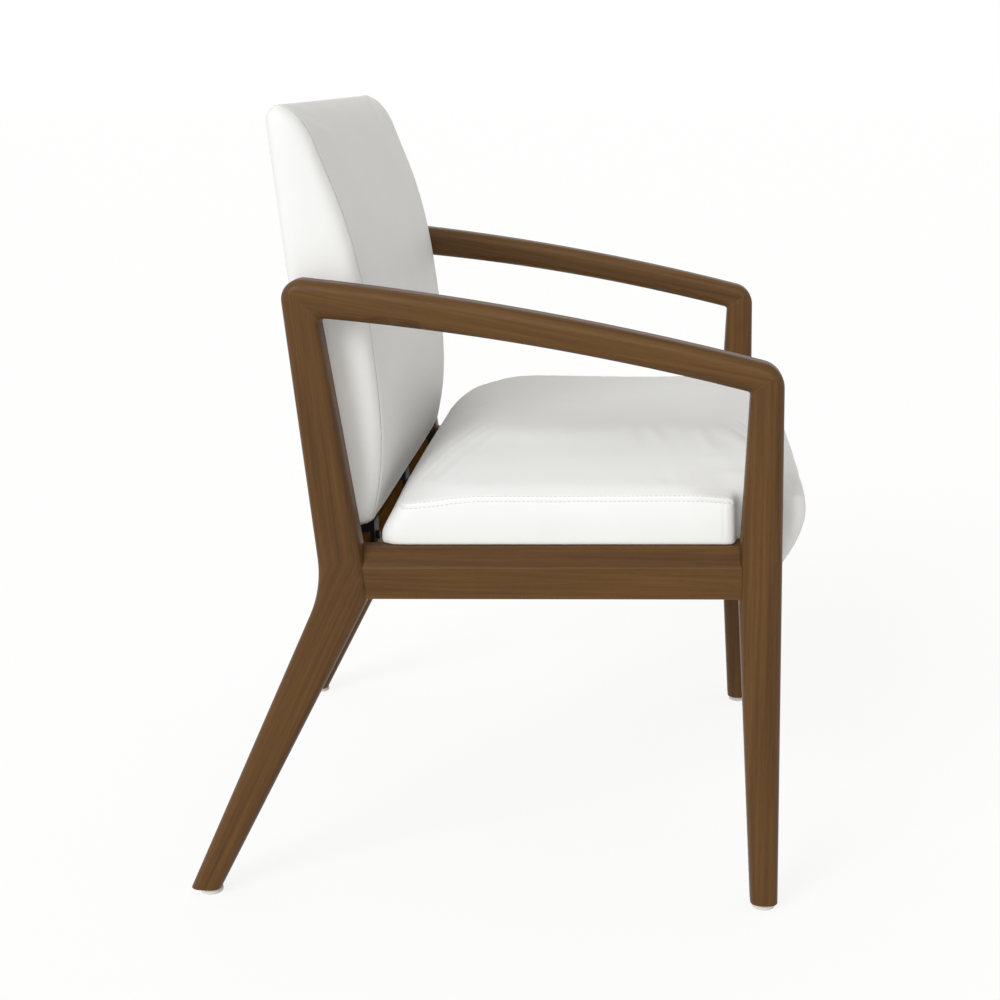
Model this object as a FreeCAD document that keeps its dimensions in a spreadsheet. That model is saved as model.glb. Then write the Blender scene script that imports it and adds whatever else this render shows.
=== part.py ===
"""Healthcare armchair: two wooden side frames, cross rails, an upholstered seat and back, screw glides.

Millimetres, +Z up, the sitter faces -Y. The origin lies on the floor under the middle of the chair.
"right" is the sitter's right, at -X, and every left-hand piece is the mirror image of its right-hand one.
"""
import FreeCAD, Part

import math
import os
import re

import Sketcher
from FreeCAD import Placement, Rotation, Vector

# Driving dimensions, in millimetres and degrees
SIZES = {
    # side frame
    "overall_width": 620.0,
    "frame_thickness": 34.0,
    "frame_round": 10.0,
    "front_corner_round": 26.0,
    "rear_corner_round": 20.0,
    "inner_corner_round": 5.0,
    "knee_back_round": 120.0,
    "knee_front_round": 40.0,
    "arm_top_radius": 3140.0,
    "arm_under_radius": 2640.0,
    # front leg, side view
    "front_toe_y": -300.0,
    "front_foot_width": 28.5,
    "front_leg_draft": 8.5,
    "front_leg_depth": 39.0,
    "knuckle_rise": 7.4,
    "knuckle_drop": 57.6,
    "front_leg_top_depth": 32.5,
    "arm_front_rise": 188.4,
    "arm_front_depth": 24.5,
    # rear leg, side view
    "rear_heel_y": 321.5,
    "rear_foot_width": 31.8,
    "rear_knee_back_y": 171.2,
    "knee_drop": 44.0,
    "knee_depth": 49.4,
    "knee_skew": 7.0,
    "upright_run": 33.8,
    "upright_top_depth": 39.0,
    "arm_rear_rise": 273.9,
    "arm_rear_depth": 40.5,
    # seat frame, in the raked seat plane whose zero is the top of the rails
    "seat_plane_z": 387.6,
    "seat_rake": 1.0,
    "side_rail_height": 52.0,
    "side_rail_thickness": 30.0,
    "side_rail_bevel_drop": 18.5,
    "side_rail_bevel_run": 15.0,
    "side_rail_round": 3.0,
    "cross_rail_height": 48.0,
    "front_rail_thickness": 21.0,
    "front_rail_setback": 26.5,
    "rear_rail_thickness": 28.0,
    "rear_rail_setback": 26.2,
    "block_leg": 80.0,
    "block_drop": 16.0,
    "block_height": 30.0,
    # dowels
    "dowel_diameter": 8.0,
    "dowel_clearance": 0.05,
    "rail_dowel_length": 50.0,
    "cross_dowel_length": 44.0,
    "arm_dowel_length": 26.0,
    "arm_dowel_spacing": 14.0,
    "side_dowel_upper_drop": 9.0,
    "side_dowel_lower_drop": 43.0,
    "side_dowel_inset": 12.0,
    "cross_dowel_upper_drop": 20.0,
    "cross_dowel_lower_drop": 32.0,
    # corner block screws and seat bolts
    "screw_diameter": 5.0,
    "screw_length": 28.0,
    "screw_head_diameter": 9.0,
    "screw_head_height": 3.5,
    "screw_seat": 10.0,
    "screw_offset": 62.0,
    "side_screw_drop": 26.0,
    "cross_screw_drop": 38.0,
    "screw_clearance": 0.05,
    "bolt_diameter": 6.0,
    "bolt_head_diameter": 12.0,
    "bolt_head_height": 4.0,
    "bolt_offset_x": 20.0,
    "bolt_offset_y": 46.0,
    "bolt_clearance": 0.1,
    "tee_flange_diameter": 20.0,
    "tee_flange_thickness": 1.5,
    "tee_barrel_diameter": 9.0,
    # seat
    "deck_thickness": 12.0,
    "deck_side_inset": 9.0,
    "deck_rear_inset": 12.0,
    "nose_board_inset": 8.0,
    "nose_board_thickness": 12.0,
    "nose_board_drop": 22.0,
    "nose_screw_margin": 38.0,
    "seat_overhang": 14.0,
    "seat_front_overhang": 21.0,
    "clean_out_gap": 20.0,
    "seat_rear_lean": 20.0,
    "seat_seam_height": 50.0,
    "seat_crown": 42.0,
    "seat_nose_tuck": 6.5,
    "seat_widest_height": 30.0,
    "seat_tuck": 3.0,
    "seat_draw_in": 4.0,
    "seat_corner_round": 18.0,
    "seat_front_bow": 5.0,
    "notch_side_gap": 10.0,
    "notch_rear_gap": 6.5,
    "lip_drop": 42.0,
    "lip_draw_in": 23.3,
    "lip_gap": 1.0,
    "lip_step": 1.2,
    "cover_thickness": 1.8,
    "foam_gap": 0.3,
    "dust_cover_thickness": 1.0,
    "dust_cover_margin": 12.0,
    # back, in the leaning back plane whose zero is its rear face and its lower edge
    "back_setback": 2.56,
    "back_base_rise": 3.4,
    "back_extra_lean": 0.0907,
    "back_side_gap": 12.0,
    "back_height": 435.0,
    "back_shoulder_drop": 49.0,
    "back_middle_drop": 149.0,
    "back_middle_bottom": 133.0,
    "back_lumbar_height": 70.0,
    "back_depth_low": 59.0,
    "back_depth_lumbar": 72.0,
    "back_depth_middle": 78.0,
    "back_depth_centre": 79.0,
    "back_depth_upper": 74.0,
    "back_depth_shoulder": 54.0,
    "back_depth_top": 45.0,
    "back_low_round": 8.0,
    "back_top_round": 18.0,
    "back_crown": 8.0,
    "back_end_crown": 4.0,
    "back_draw_in": 3.0,
    "back_corner_round": 16.0,
    "stile_width": 45.0,
    "stile_depth": 25.0,
    "stile_inset": 14.0,
    "back_frame_bottom": 12.0,
    "back_frame_margin": 35.0,
    "back_rail_height": 48.0,
    "back_bottom_rail_depth": 39.0,
    "back_panel_thickness": 3.0,
    "back_panel_gap": 4.0,
    "strap_width": 50.0,
    "strap_thickness": 2.0,
    "strap_top_margin": 28.0,
    "strap_first_height": 108.0,
    "strap_overlap": 30.0,
    "back_bolt_diameter": 8.0,
    "back_bolt_head_diameter": 14.0,
    "back_bolt_head_height": 5.0,
    "back_bolt_depth": 20.0,
    "back_bolt_spacing": 105.0,
    "back_bolt_drop": 65.5,
    "back_insert_diameter": 12.0,
    "back_insert_length": 16.0,
    "spacer_diameter": 20.0,
    "spacer_gap": 0.3,
    # brackets in the clean-out gap
    "bracket_inset": 28.0,
    "bracket_width": 28.0,
    "bracket_thickness": 4.0,
    "bracket_drop": 14.0,
    "bracket_reach": 24.0,
    "bracket_screw_drop": 7.0,
    "bracket_screw_length": 14.0,
    "base_bolt_grip": 30.0,
    "base_bolt_shift": 4.0,
    # glides
    "glide_base_diameter": 24.0,
    "glide_base_height": 4.5,
    "glide_base_round": 1.2,
    "glide_pin_diameter": 6.8,
    "glide_pin_length": 3.0,
    "glide_gap": 0.2,
    "glide_running_clearance": 0.05,
    "collar_across_flats": 13.0,
    "collar_height": 3.0,
    "stem_diameter": 8.0,
    "stem_length": 13.0,
    "foot_insert_diameter": 12.0,
    "foot_insert_length": 14.0,
    "rear_glide_shift": 3.5,
}

# Places worked out from the driving dimensions
PLACES = {
    "front_shoulder_y": "front_toe_y + front_leg_draft",
    "front_shoulder_z": "seat_plane_z + arm_front_rise",
    "front_armpit_y": "front_shoulder_y + front_leg_top_depth",
    "front_armpit_z": "front_shoulder_z - arm_front_depth",
    "front_leg_rear_y": "front_shoulder_y + front_leg_depth",
    "front_knuckle_top_z": "seat_plane_z + knuckle_rise",
    "front_knuckle_bottom_z": "seat_plane_z - knuckle_drop",
    "rear_knee_back_z": "seat_plane_z - knee_drop",
    "rear_knee_front_y": "rear_knee_back_y - knee_depth",
    "rear_knee_front_z": "rear_knee_back_z - knee_skew",
    "rear_shoulder_y": "rear_knee_back_y + upright_run",
    "rear_shoulder_z": "seat_plane_z + arm_rear_rise",
    "rear_armpit_y": "rear_shoulder_y - upright_top_depth",
    "rear_armpit_z": "rear_shoulder_z - arm_rear_depth",
    "front_rail_y": "front_toe_y + front_rail_setback",
    "rear_rail_y": "rear_knee_back_y - rear_rail_setback",
    "inner_face": "overall_width / 2 - frame_thickness",
    "seat_half_width": "inner_face + seat_overhang",
    "seat_front_y": "front_toe_y - seat_front_overhang",
    "seat_rear_y": "rear_rail_y - rear_rail_thickness / 2 - clean_out_gap",
    "deck_half_width": "seat_half_width - deck_side_inset",
    "deck_rear_y": "seat_rear_y - deck_rear_inset",
    "notch_half_width": "inner_face - notch_side_gap",
    "notch_y": "front_leg_rear_y + notch_rear_gap",
    "lip_rear_y": "front_rail_y - front_rail_thickness / 2 - lip_gap",
    "nose_board_half_width": "notch_half_width - nose_board_inset",
    "nose_screw_pitch": "(nose_board_half_width - nose_screw_margin) / 2",
    "upright_lean": "atan(upright_run / (rear_shoulder_z - rear_knee_back_z)) / 1 deg",
    "back_lean": "upright_lean + back_extra_lean",
    "back_z": "seat_plane_z + back_base_rise",
    "back_y": "rear_knee_back_y + (back_z - rear_knee_back_z) * tan(upright_lean) + back_setback",
    "back_half_width": "inner_face - back_side_gap",
    "back_shoulder_height": "back_height - back_shoulder_drop",
    "back_middle_top": "back_height - back_middle_drop",
    "back_frame_top": "back_height - back_frame_margin",
    "back_bolt_high": "rear_shoulder_z - back_z - back_bolt_drop",
    "back_bolt_low": "back_bolt_high - back_bolt_spacing",
    "strap_pitch": "(back_frame_top - back_rail_height - strap_first_height - strap_top_margin) / 3",
    "stile_outer_x": "back_half_width - stile_inset",
    "bracket_x": "stile_outer_x - bracket_inset",
}
INNER_FACE = "(inner_face)"
FRAME_MID = "(overall_width / 2 - frame_thickness / 2)"
LEG_BOTTOM = "(glide_base_height + collar_height + 2 * glide_gap)"
FRONT_RAIL_FRONT = "(front_rail_y - front_rail_thickness / 2)"
FRONT_RAIL_REAR = "(front_rail_y + front_rail_thickness / 2)"
REAR_RAIL_FRONT = "(rear_rail_y - rear_rail_thickness / 2)"
REAR_RAIL_REAR = "(rear_rail_y + rear_rail_thickness / 2)"
SIDE_RAIL_FRONT = "((front_shoulder_y + front_leg_rear_y) / 2)"
SIDE_RAIL_REAR = "((rear_knee_front_y + rear_knee_back_y) / 2)"
DOWEL_RADIUS = "(dowel_diameter / 2)"
SCREW_RADIUS = "(screw_diameter / 2)"
BOLT_RADIUS = "(bolt_diameter / 2)"
STILE_FRONT = "(-back_panel_gap - back_panel_thickness - stile_depth)"
STILE_REAR = "(-back_panel_gap - back_panel_thickness)"
STRAP_FRONT = f"({STILE_FRONT} - strap_thickness)"

# How far a cutting tool passes the piece that it cuts, and how close two places are that count as one
CUT_REACH = 80.0
SAME_PLACE = 0.01

doc = FreeCAD.newDocument("healthcare_armchair")
sheet = doc.addObject("Spreadsheet::Sheet", "Size")
for row, (alias, value) in enumerate(SIZES.items(), start=1):
    sheet.set(f"A{row}", alias)
    sheet.set(f"B{row}", str(value))
    sheet.setAlias(f"B{row}", alias)
doc.recompute()

nodes = []


def linked(expression):
    """The expression with each place worked out and each size's name pointed at its cell in the sheet."""
    def cell(match):
        word = match.group()
        if word in PLACES:
            return f"({linked(PLACES[word])})"
        return f"Size.{word}" if word in SIZES else word
    return re.sub(r"[a-z][a-z_]*", cell, str(expression))


def number(expression):
    """The expression's value now."""
    return float(sheet.evalExpression(linked(expression)))


def bind(item, target, expression):
    item.setExpression(target, linked(expression))


class Frame:
    """A local frame that leans back about the X axis, with its origin and lean as expressions."""

    def __init__(self, y, z, lean):
        self.y = y
        self.z = z
        self.lean = lean

    def point(self, y, z):
        """World y and z of a local point."""
        world_y = f"{self.y} + ({y}) * cos({self.lean}) + ({z}) * sin({self.lean})"
        world_z = f"{self.z} - ({y}) * sin({self.lean}) + ({z}) * cos({self.lean})"
        return world_y, world_z

    def placement(self):
        origin = Vector(0, number(self.y), number(self.z))
        return Placement(origin, Rotation(Vector(-1, 0, 0), number(self.lean)))


WORLD = Frame("0", "0", "0")
SEAT = Frame("0", "seat_plane_z", "seat_rake")
BACK = Frame("back_y", "back_z", "back_lean")
FRONT_MITRE = Frame(
    "(front_armpit_y + front_shoulder_y) / 2",
    "(front_armpit_z + front_shoulder_z) / 2",
    "(atan((front_shoulder_z - front_armpit_z) / (front_armpit_y - front_shoulder_y)) / 1 deg)",
)
REAR_MITRE = Frame(
    "(rear_armpit_y + rear_shoulder_y) / 2",
    "(rear_armpit_z + rear_shoulder_z) / 2",
    "(180 - atan((rear_shoulder_z - rear_armpit_z) / (rear_shoulder_y - rear_armpit_y)) / 1 deg)",
)


def place(item, frame, x="0", y="0", z="0", along="Z"):
    """Puts an item at a local point of a frame, with its own Z axis along the local X, Y or Z."""
    if along == "X":
        item.Placement = Placement(Vector(), Rotation(Vector(0, 1, 0), 90))
    else:
        turn = frame.lean if along == "Z" else f"(90 + {frame.lean})"
        item.Placement = Placement(Vector(), Rotation(Vector(-1, 0, 0), number(turn)))
        bind(item, "Placement.Rotation.Angle", turn)
    world_y, world_z = frame.point(y, z)
    bind(item, "Placement.Base.x", x)
    bind(item, "Placement.Base.y", world_y)
    bind(item, "Placement.Base.z", world_z)
    return item


def box(name, frame, x, y, z):
    """A box between two limits along each local axis, as (low, high) pairs."""
    item = doc.addObject("Part::Box", name)
    for side, (low, high) in zip(("Length", "Width", "Height"), (x, y, z)):
        bind(item, side, f"({high}) - ({low})")
    return place(item, frame, x[0], y[0], z[0])


def rod(name, frame, radius, length, x="0", y="0", z="0", along="Z"):
    """A cylinder from a local point along a local axis."""
    item = doc.addObject("Part::Cylinder", name)
    bind(item, "Radius", radius)
    bind(item, "Height", length)
    return place(item, frame, x, y, z, along)


def group(name, items):
    """Separate solids kept as one item."""
    item = doc.addObject("Part::Compound", name)
    item.Links = items
    return item


def joined(name, items):
    item = doc.addObject("Part::MultiFuse", name)
    item.Shapes = items
    return item


def cut(name, base, tools):
    """The base less its tools."""
    item = doc.addObject("Part::Cut", name)
    item.Base = base
    item.Tool = tools[0] if len(tools) == 1 else group(f"{name}_tools", tools)
    return item


def common(name, first, second):
    item = doc.addObject("Part::Common", name)
    item.Base = first
    item.Tool = second
    return item


def mirrored(name, source):
    """The left-hand copy of a right-hand item."""
    item = doc.addObject("Part::Mirroring", name)
    item.Source = source
    item.Base = Vector(0, 0, 0)
    item.Normal = Vector(1, 0, 0)
    return item


def node(item, label):
    """Names a finished piece, which is then written under that name."""
    item.Label = label
    nodes.append(item)
    return item


def pair(item, label):
    """A right-hand piece and its mirrored left-hand piece, as two nodes."""
    node(item, f"right_{label}")
    node(mirrored(f"left_{label}", item), f"left_{label}")


def pair_group(name, items):
    """Right-hand items and their mirror images as one node of separate solids."""
    right = group(f"{name}_right", items)
    left = mirrored(f"{name}_left", right)
    return node(group(f"{name}_all", [right, left]), name)


def outline(sketch, points):
    """A closed outline in a sketch: points of (u, v), or (u, v, radius) where an arc leads to the next."""
    count = len(points)
    places = [Vector(number(p[0]), number(p[1]), 0) for p in points]
    for i, point in enumerate(points):
        start = places[i]
        end = places[(i + 1) % count]
        if len(point) == 2:
            sketch.addGeometry(Part.LineSegment(start, end))
            continue
        radius = number(point[2])
        chord = end - start
        side = Vector(-chord.y, chord.x, 0).normalize()
        rise = radius - (radius ** 2 - (chord.Length / 2) ** 2) ** 0.5
        upward = side if side.y > 0 else side * -1
        middle = (start + end) / 2 + upward * rise
        turns_left = (middle - start).cross(end - middle).z > 0
        sketch.addGeometry(Part.Arc(start, middle, end) if turns_left else Part.Arc(end, middle, start))
    for i in range(count):
        following = (i + 1) % count
        end = corner_positions(sketch, places, i)[1]
        start = corner_positions(sketch, places, following)[0]
        sketch.addConstraint(Sketcher.Constraint("Coincident", i, end, following, start))
    for i, point in enumerate(points):
        start = corner_positions(sketch, places, i)[0]
        across = sketch.addConstraint(Sketcher.Constraint("DistanceX", i, start, places[i].x))
        bind(sketch, f"Constraints[{across}]", point[0])
        up = sketch.addConstraint(Sketcher.Constraint("DistanceY", i, start, places[i].y))
        bind(sketch, f"Constraints[{up}]", point[1])
        if len(point) == 3:
            arc = sketch.addConstraint(Sketcher.Constraint("Radius", i, number(point[2])))
            bind(sketch, f"Constraints[{arc}]", point[2])


def corner_positions(sketch, places, index):
    """Which end of a sketch edge, 1 or 2, lies at its first outline point, and which at its last."""
    edge = sketch.Geometry[index]
    first = places[index]
    if (edge.StartPoint - first).Length < (edge.EndPoint - first).Length:
        return 1, 2
    return 2, 1


def plate(name, plane, points, thickness, frame, x="0", y="0", z="0", centred=False):
    """A body padded from an outline on one of its own origin planes."""
    body = doc.addObject("PartDesign::Body", name)
    support = [item for item in body.Origin.OriginFeatures if item.Role == f"{plane}_Plane"][0]
    sketch = body.newObject("Sketcher::SketchObject", f"{name}_outline")
    sketch.AttachmentSupport = [(support, "")]
    sketch.MapMode = "FlatFace"
    outline(sketch, points)
    pad = body.newObject("PartDesign::Pad", f"{name}_pad")
    pad.Profile = sketch
    pad.SideType = "Symmetric" if centred else "One side"
    bind(pad, "Length", thickness)
    place(body, frame, x, y, z)
    doc.recompute()
    return body


def rounded(body, name, edges, radius):
    """Rounds named edges of a body's last feature."""
    base = body.Tip
    fillet = body.newObject("PartDesign::Fillet", name)
    fillet.Base = (base, edges)
    bind(fillet, "Radius", radius)
    body.Tip = fillet
    doc.recompute()
    return fillet


def cross_edges(body, y, z):
    """The edges of a side-view body that run across it at a point of its outline."""
    found = []
    target = Vector(0, number(y), number(z))
    for index, edge in enumerate(body.Tip.Shape.Edges, start=1):
        ends = [Vector(0, v.Point.y, v.Point.z) for v in edge.Vertexes]
        if all((end - target).Length < SAME_PLACE for end in ends):
            found.append(f"Edge{index}")
    return found


def rim_edges(body, half, lowest):
    """The edges round both faces of a side-view body, apart from those at its feet."""
    found = []
    for index, edge in enumerate(body.Tip.Shape.Edges, start=1):
        ends = [v.Point for v in edge.Vertexes]
        on_face = all(abs(abs(end.x) - half) < SAME_PLACE for end in ends)
        same_face = abs(ends[0].x - ends[-1].x) < SAME_PLACE
        at_foot = all(abs(end.z - lowest) < SAME_PLACE for end in ends)
        if on_face and same_face and not at_foot:
            found.append(f"Edge{index}")
    return found


def feature(name, shape, frame):
    """A shape made in a local frame, kept as an item of the document."""
    item = doc.addObject("Part::Feature", name)
    item.Shape = shape
    item.Placement = frame.placement()
    return item


def bowed_edge(start, middle, end):
    """An arc through three points, or a line where they are in line."""
    if middle.distanceToLine(start, end - start) < SAME_PLACE:
        return Part.LineSegment(start, end).toShape()
    return Part.Arc(start, middle, end).toShape()


def plan_wire(z, half_width, front, rear, corner, side_bow, front_bow, rear_bow):
    """A cushion's outline at one height: four bowed sides and four round corners.

    A bow is how far the middle of a side stands out past its ends, negative where it is drawn in.
    """
    middle_y = (front + rear) / 2
    bulge = corner * (1 - 0.5 ** 0.5)
    corners = []
    for x, y, inward_x, inward_y in (
        (-half_width, front, 1, 1),
        (-half_width, rear, 1, -1),
        (half_width, rear, -1, -1),
        (half_width, front, -1, 1),
    ):
        ends = [Vector(x + inward_x * corner, y, z), Vector(x, y + inward_y * corner, z)]
        if inward_x != inward_y:
            ends.reverse()
        corners.append((ends[0], Vector(x + inward_x * bulge, y + inward_y * bulge, z), ends[1]))
    bows = [
        Vector(-half_width - side_bow, middle_y, z),
        Vector(0, rear + rear_bow, z),
        Vector(half_width + side_bow, middle_y, z),
        Vector(0, front - front_bow, z),
    ]
    edges = []
    for index, (start, middle, end) in enumerate(corners):
        edges.append(bowed_edge(start, middle, end))
        next_start = corners[(index + 1) % len(corners)][0]
        edges.append(bowed_edge(end, bows[index], next_start))
    return Part.Wire(edges)


# Side frame: one bent outline, rounded all round, then parted at its two mitres
frame_blank = plate(
    "side_frame_blank",
    "YZ",
    [
        ("front_toe_y", LEG_BOTTOM),
        ("front_shoulder_y", "front_shoulder_z", "arm_top_radius"),
        ("rear_shoulder_y", "rear_shoulder_z"),
        ("rear_knee_back_y", "rear_knee_back_z"),
        ("rear_heel_y", LEG_BOTTOM),
        ("rear_heel_y - rear_foot_width", LEG_BOTTOM),
        ("rear_knee_front_y", "rear_knee_front_z"),
        ("rear_armpit_y", "rear_armpit_z", "arm_under_radius"),
        ("front_armpit_y", "front_armpit_z"),
        ("front_leg_rear_y", "front_knuckle_top_z"),
        ("front_leg_rear_y", "front_knuckle_bottom_z"),
        ("front_toe_y + front_foot_width", LEG_BOTTOM),
    ],
    "frame_thickness",
    WORLD,
    x=f"-{FRAME_MID}",
    centred=True,
)
for corner_name, corner_round in (
    ("front_shoulder", "front_corner_round"),
    ("rear_shoulder", "rear_corner_round"),
    ("rear_knee_back", "knee_back_round"),
    ("rear_knee_front", "knee_front_round"),
    ("rear_armpit", "inner_corner_round"),
    ("front_armpit", "inner_corner_round"),
):
    corner_edges = cross_edges(frame_blank, f"{corner_name}_y", f"{corner_name}_z")
    rounded(frame_blank, f"{corner_name}_rounding", corner_edges, corner_round)
rounded(
    frame_blank,
    "frame_rim_rounding",
    rim_edges(frame_blank, number("frame_thickness / 2"), number(LEG_BOTTOM)),
    "frame_round",
)

arm_zone = plate(
    "arm_zone",
    "YZ",
    [
        ("2 * front_shoulder_y - front_armpit_y", "2 * front_shoulder_z - front_armpit_z"),
        ("2 * rear_shoulder_y - rear_armpit_y", "2 * rear_shoulder_z - rear_armpit_z"),
        ("2 * rear_armpit_y - rear_shoulder_y", "2 * rear_armpit_z - rear_shoulder_z"),
        ("2 * front_armpit_y - front_shoulder_y", "2 * front_armpit_z - front_shoulder_z"),
    ],
    "2 * frame_thickness",
    WORLD,
    x=f"-{FRAME_MID}",
    centred=True,
)
zone_x = ("-overall_width", "0")
zone_z = ("0", "2 * rear_shoulder_z")
front_zone = box("front_zone", WORLD, zone_x, ("2 * front_toe_y", "0"), zone_z)
rear_zone = box("rear_zone", WORLD, zone_x, ("0", "2 * rear_heel_y"), zone_z)
arm_blank = common("arm_blank", frame_blank, arm_zone)
leg_blanks = cut("leg_blanks", frame_blank, [arm_zone])
front_leg_blank = common("front_leg_blank", leg_blanks, front_zone)
rear_leg_blank = common("rear_leg_blank", leg_blanks, rear_zone)


def dowel(name, frame, length, x, y, z, along):
    """A dowel centred on a local point, and the bore that takes it."""
    start = {"X": x, "Y": y, "Z": z}
    start[along] = f"({start[along]}) - ({length}) / 2"
    spot = (start["X"], start["Y"], start["Z"])
    pin = rod(name, frame, DOWEL_RADIUS, length, *spot, along=along)
    bore = rod(f"{name}_bore", frame, f"{DOWEL_RADIUS} + dowel_clearance", length, *spot, along=along)
    return pin, bore


def dowels(name, frame, length, spots, along):
    """Dowels at several local points: the list of pins and the list of bores."""
    made = [dowel(f"{name}_{i}", frame, length, *spot, along) for i, spot in enumerate(spots)]
    return [pin for pin, _ in made], [bore for _, bore in made]


side_dowel_x = f"-({INNER_FACE} + side_dowel_inset)"
side_drops = ("-side_dowel_upper_drop", "-side_dowel_lower_drop")
cross_drops = ("-cross_dowel_upper_drop", "-cross_dowel_lower_drop")
front_joint_pins, front_joint_bores = dowels(
    "front_joint_dowel", SEAT, "rail_dowel_length",
    [(side_dowel_x, "front_leg_rear_y", drop) for drop in side_drops], "Y",
)
rear_joint_pins, rear_joint_bores = dowels(
    "rear_joint_dowel", SEAT, "rail_dowel_length",
    [(side_dowel_x, "rear_knee_front_y", drop) for drop in side_drops], "Y",
)
front_cross_pins, front_cross_bores = dowels(
    "front_cross_dowel", SEAT, "cross_dowel_length",
    [(f"-{INNER_FACE}", "front_rail_y", drop) for drop in cross_drops], "X",
)
rear_cross_pins, rear_cross_bores = dowels(
    "rear_cross_dowel", SEAT, "cross_dowel_length",
    [(f"-{INNER_FACE}", "rear_rail_y", drop) for drop in cross_drops], "X",
)
arm_dowel_x = (f"-{FRAME_MID} - arm_dowel_spacing / 2", f"-{FRAME_MID} + arm_dowel_spacing / 2")
front_mitre_pins, front_mitre_bores = dowels(
    "front_mitre_dowel", FRONT_MITRE, "arm_dowel_length", [(x, "0", "0") for x in arm_dowel_x], "Z",
)
rear_mitre_pins, rear_mitre_bores = dowels(
    "rear_mitre_dowel", REAR_MITRE, "arm_dowel_length", [(x, "0", "0") for x in arm_dowel_x], "Z",
)

# Feet: a threaded insert in each leg, a stem that screws in it, and a base that swivels on the stem
FOOT_Y = {
    "front": "(front_toe_y + front_foot_width / 2)",
    "rear": "(rear_heel_y - rear_foot_width / 2 - rear_glide_shift)",
}
insert_bores = {}
inserts = []
for foot, foot_y in FOOT_Y.items():
    insert_bores[foot] = rod(
        f"{foot}_foot_bore", WORLD, "foot_insert_diameter / 2 + dowel_clearance", "foot_insert_length",
        f"-{FRAME_MID}", foot_y, LEG_BOTTOM,
    )
    insert_body = rod(
        f"{foot}_insert_body", WORLD, "foot_insert_diameter / 2", "foot_insert_length",
        f"-{FRAME_MID}", foot_y, LEG_BOTTOM,
    )
    insert_thread = rod(
        f"{foot}_insert_thread", WORLD, "stem_diameter / 2 + glide_running_clearance", "foot_insert_length",
        f"-{FRAME_MID}", foot_y, LEG_BOTTOM,
    )
    inserts.append(cut(f"{foot}_insert", insert_body, [insert_thread]))

    disc = rod(
        f"{foot}_glide_disc", WORLD, "glide_base_diameter / 2", "glide_base_height", f"-{FRAME_MID}", foot_y,
    )
    doc.recompute()
    softened = doc.addObject("Part::Fillet", f"{foot}_glide_softened")
    softened.Base = disc
    rim_round = number("glide_base_round")
    rims = [i for i, edge in enumerate(disc.Shape.Edges, start=1) if edge.Closed]
    softened.Edges = [(i, rim_round, rim_round) for i in rims]
    socket = rod(
        f"{foot}_glide_socket", WORLD, "glide_pin_diameter / 2 + glide_running_clearance", "glide_pin_length",
        f"-{FRAME_MID}", foot_y, "glide_base_height - glide_pin_length",
    )
    pair(cut(f"{foot}_glide_base", softened, [socket]), f"{foot}_glide_base")

    collar_low = "glide_base_height + glide_gap"
    pin = rod(
        f"{foot}_stem_pin", WORLD, "glide_pin_diameter / 2", "glide_pin_length",
        f"-{FRAME_MID}", foot_y, f"{collar_low} - glide_pin_length",
    )
    collar = doc.addObject("Part::Prism", f"{foot}_stem_collar")
    collar.Polygon = 6
    bind(collar, "Circumradius", "collar_across_flats / 2 / cos(30)")
    bind(collar, "Height", "collar_height")
    place(collar, WORLD, f"-{FRAME_MID}", foot_y, collar_low)
    stud = rod(
        f"{foot}_stem_stud", WORLD, "stem_diameter / 2", "stem_length + glide_gap",
        f"-{FRAME_MID}", foot_y, f"{collar_low} + collar_height",
    )
    pair(joined(f"{foot}_glide_stem", [pin, collar, stud]), f"{foot}_glide_stem")
pair_group("foot_inserts", inserts)

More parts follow.
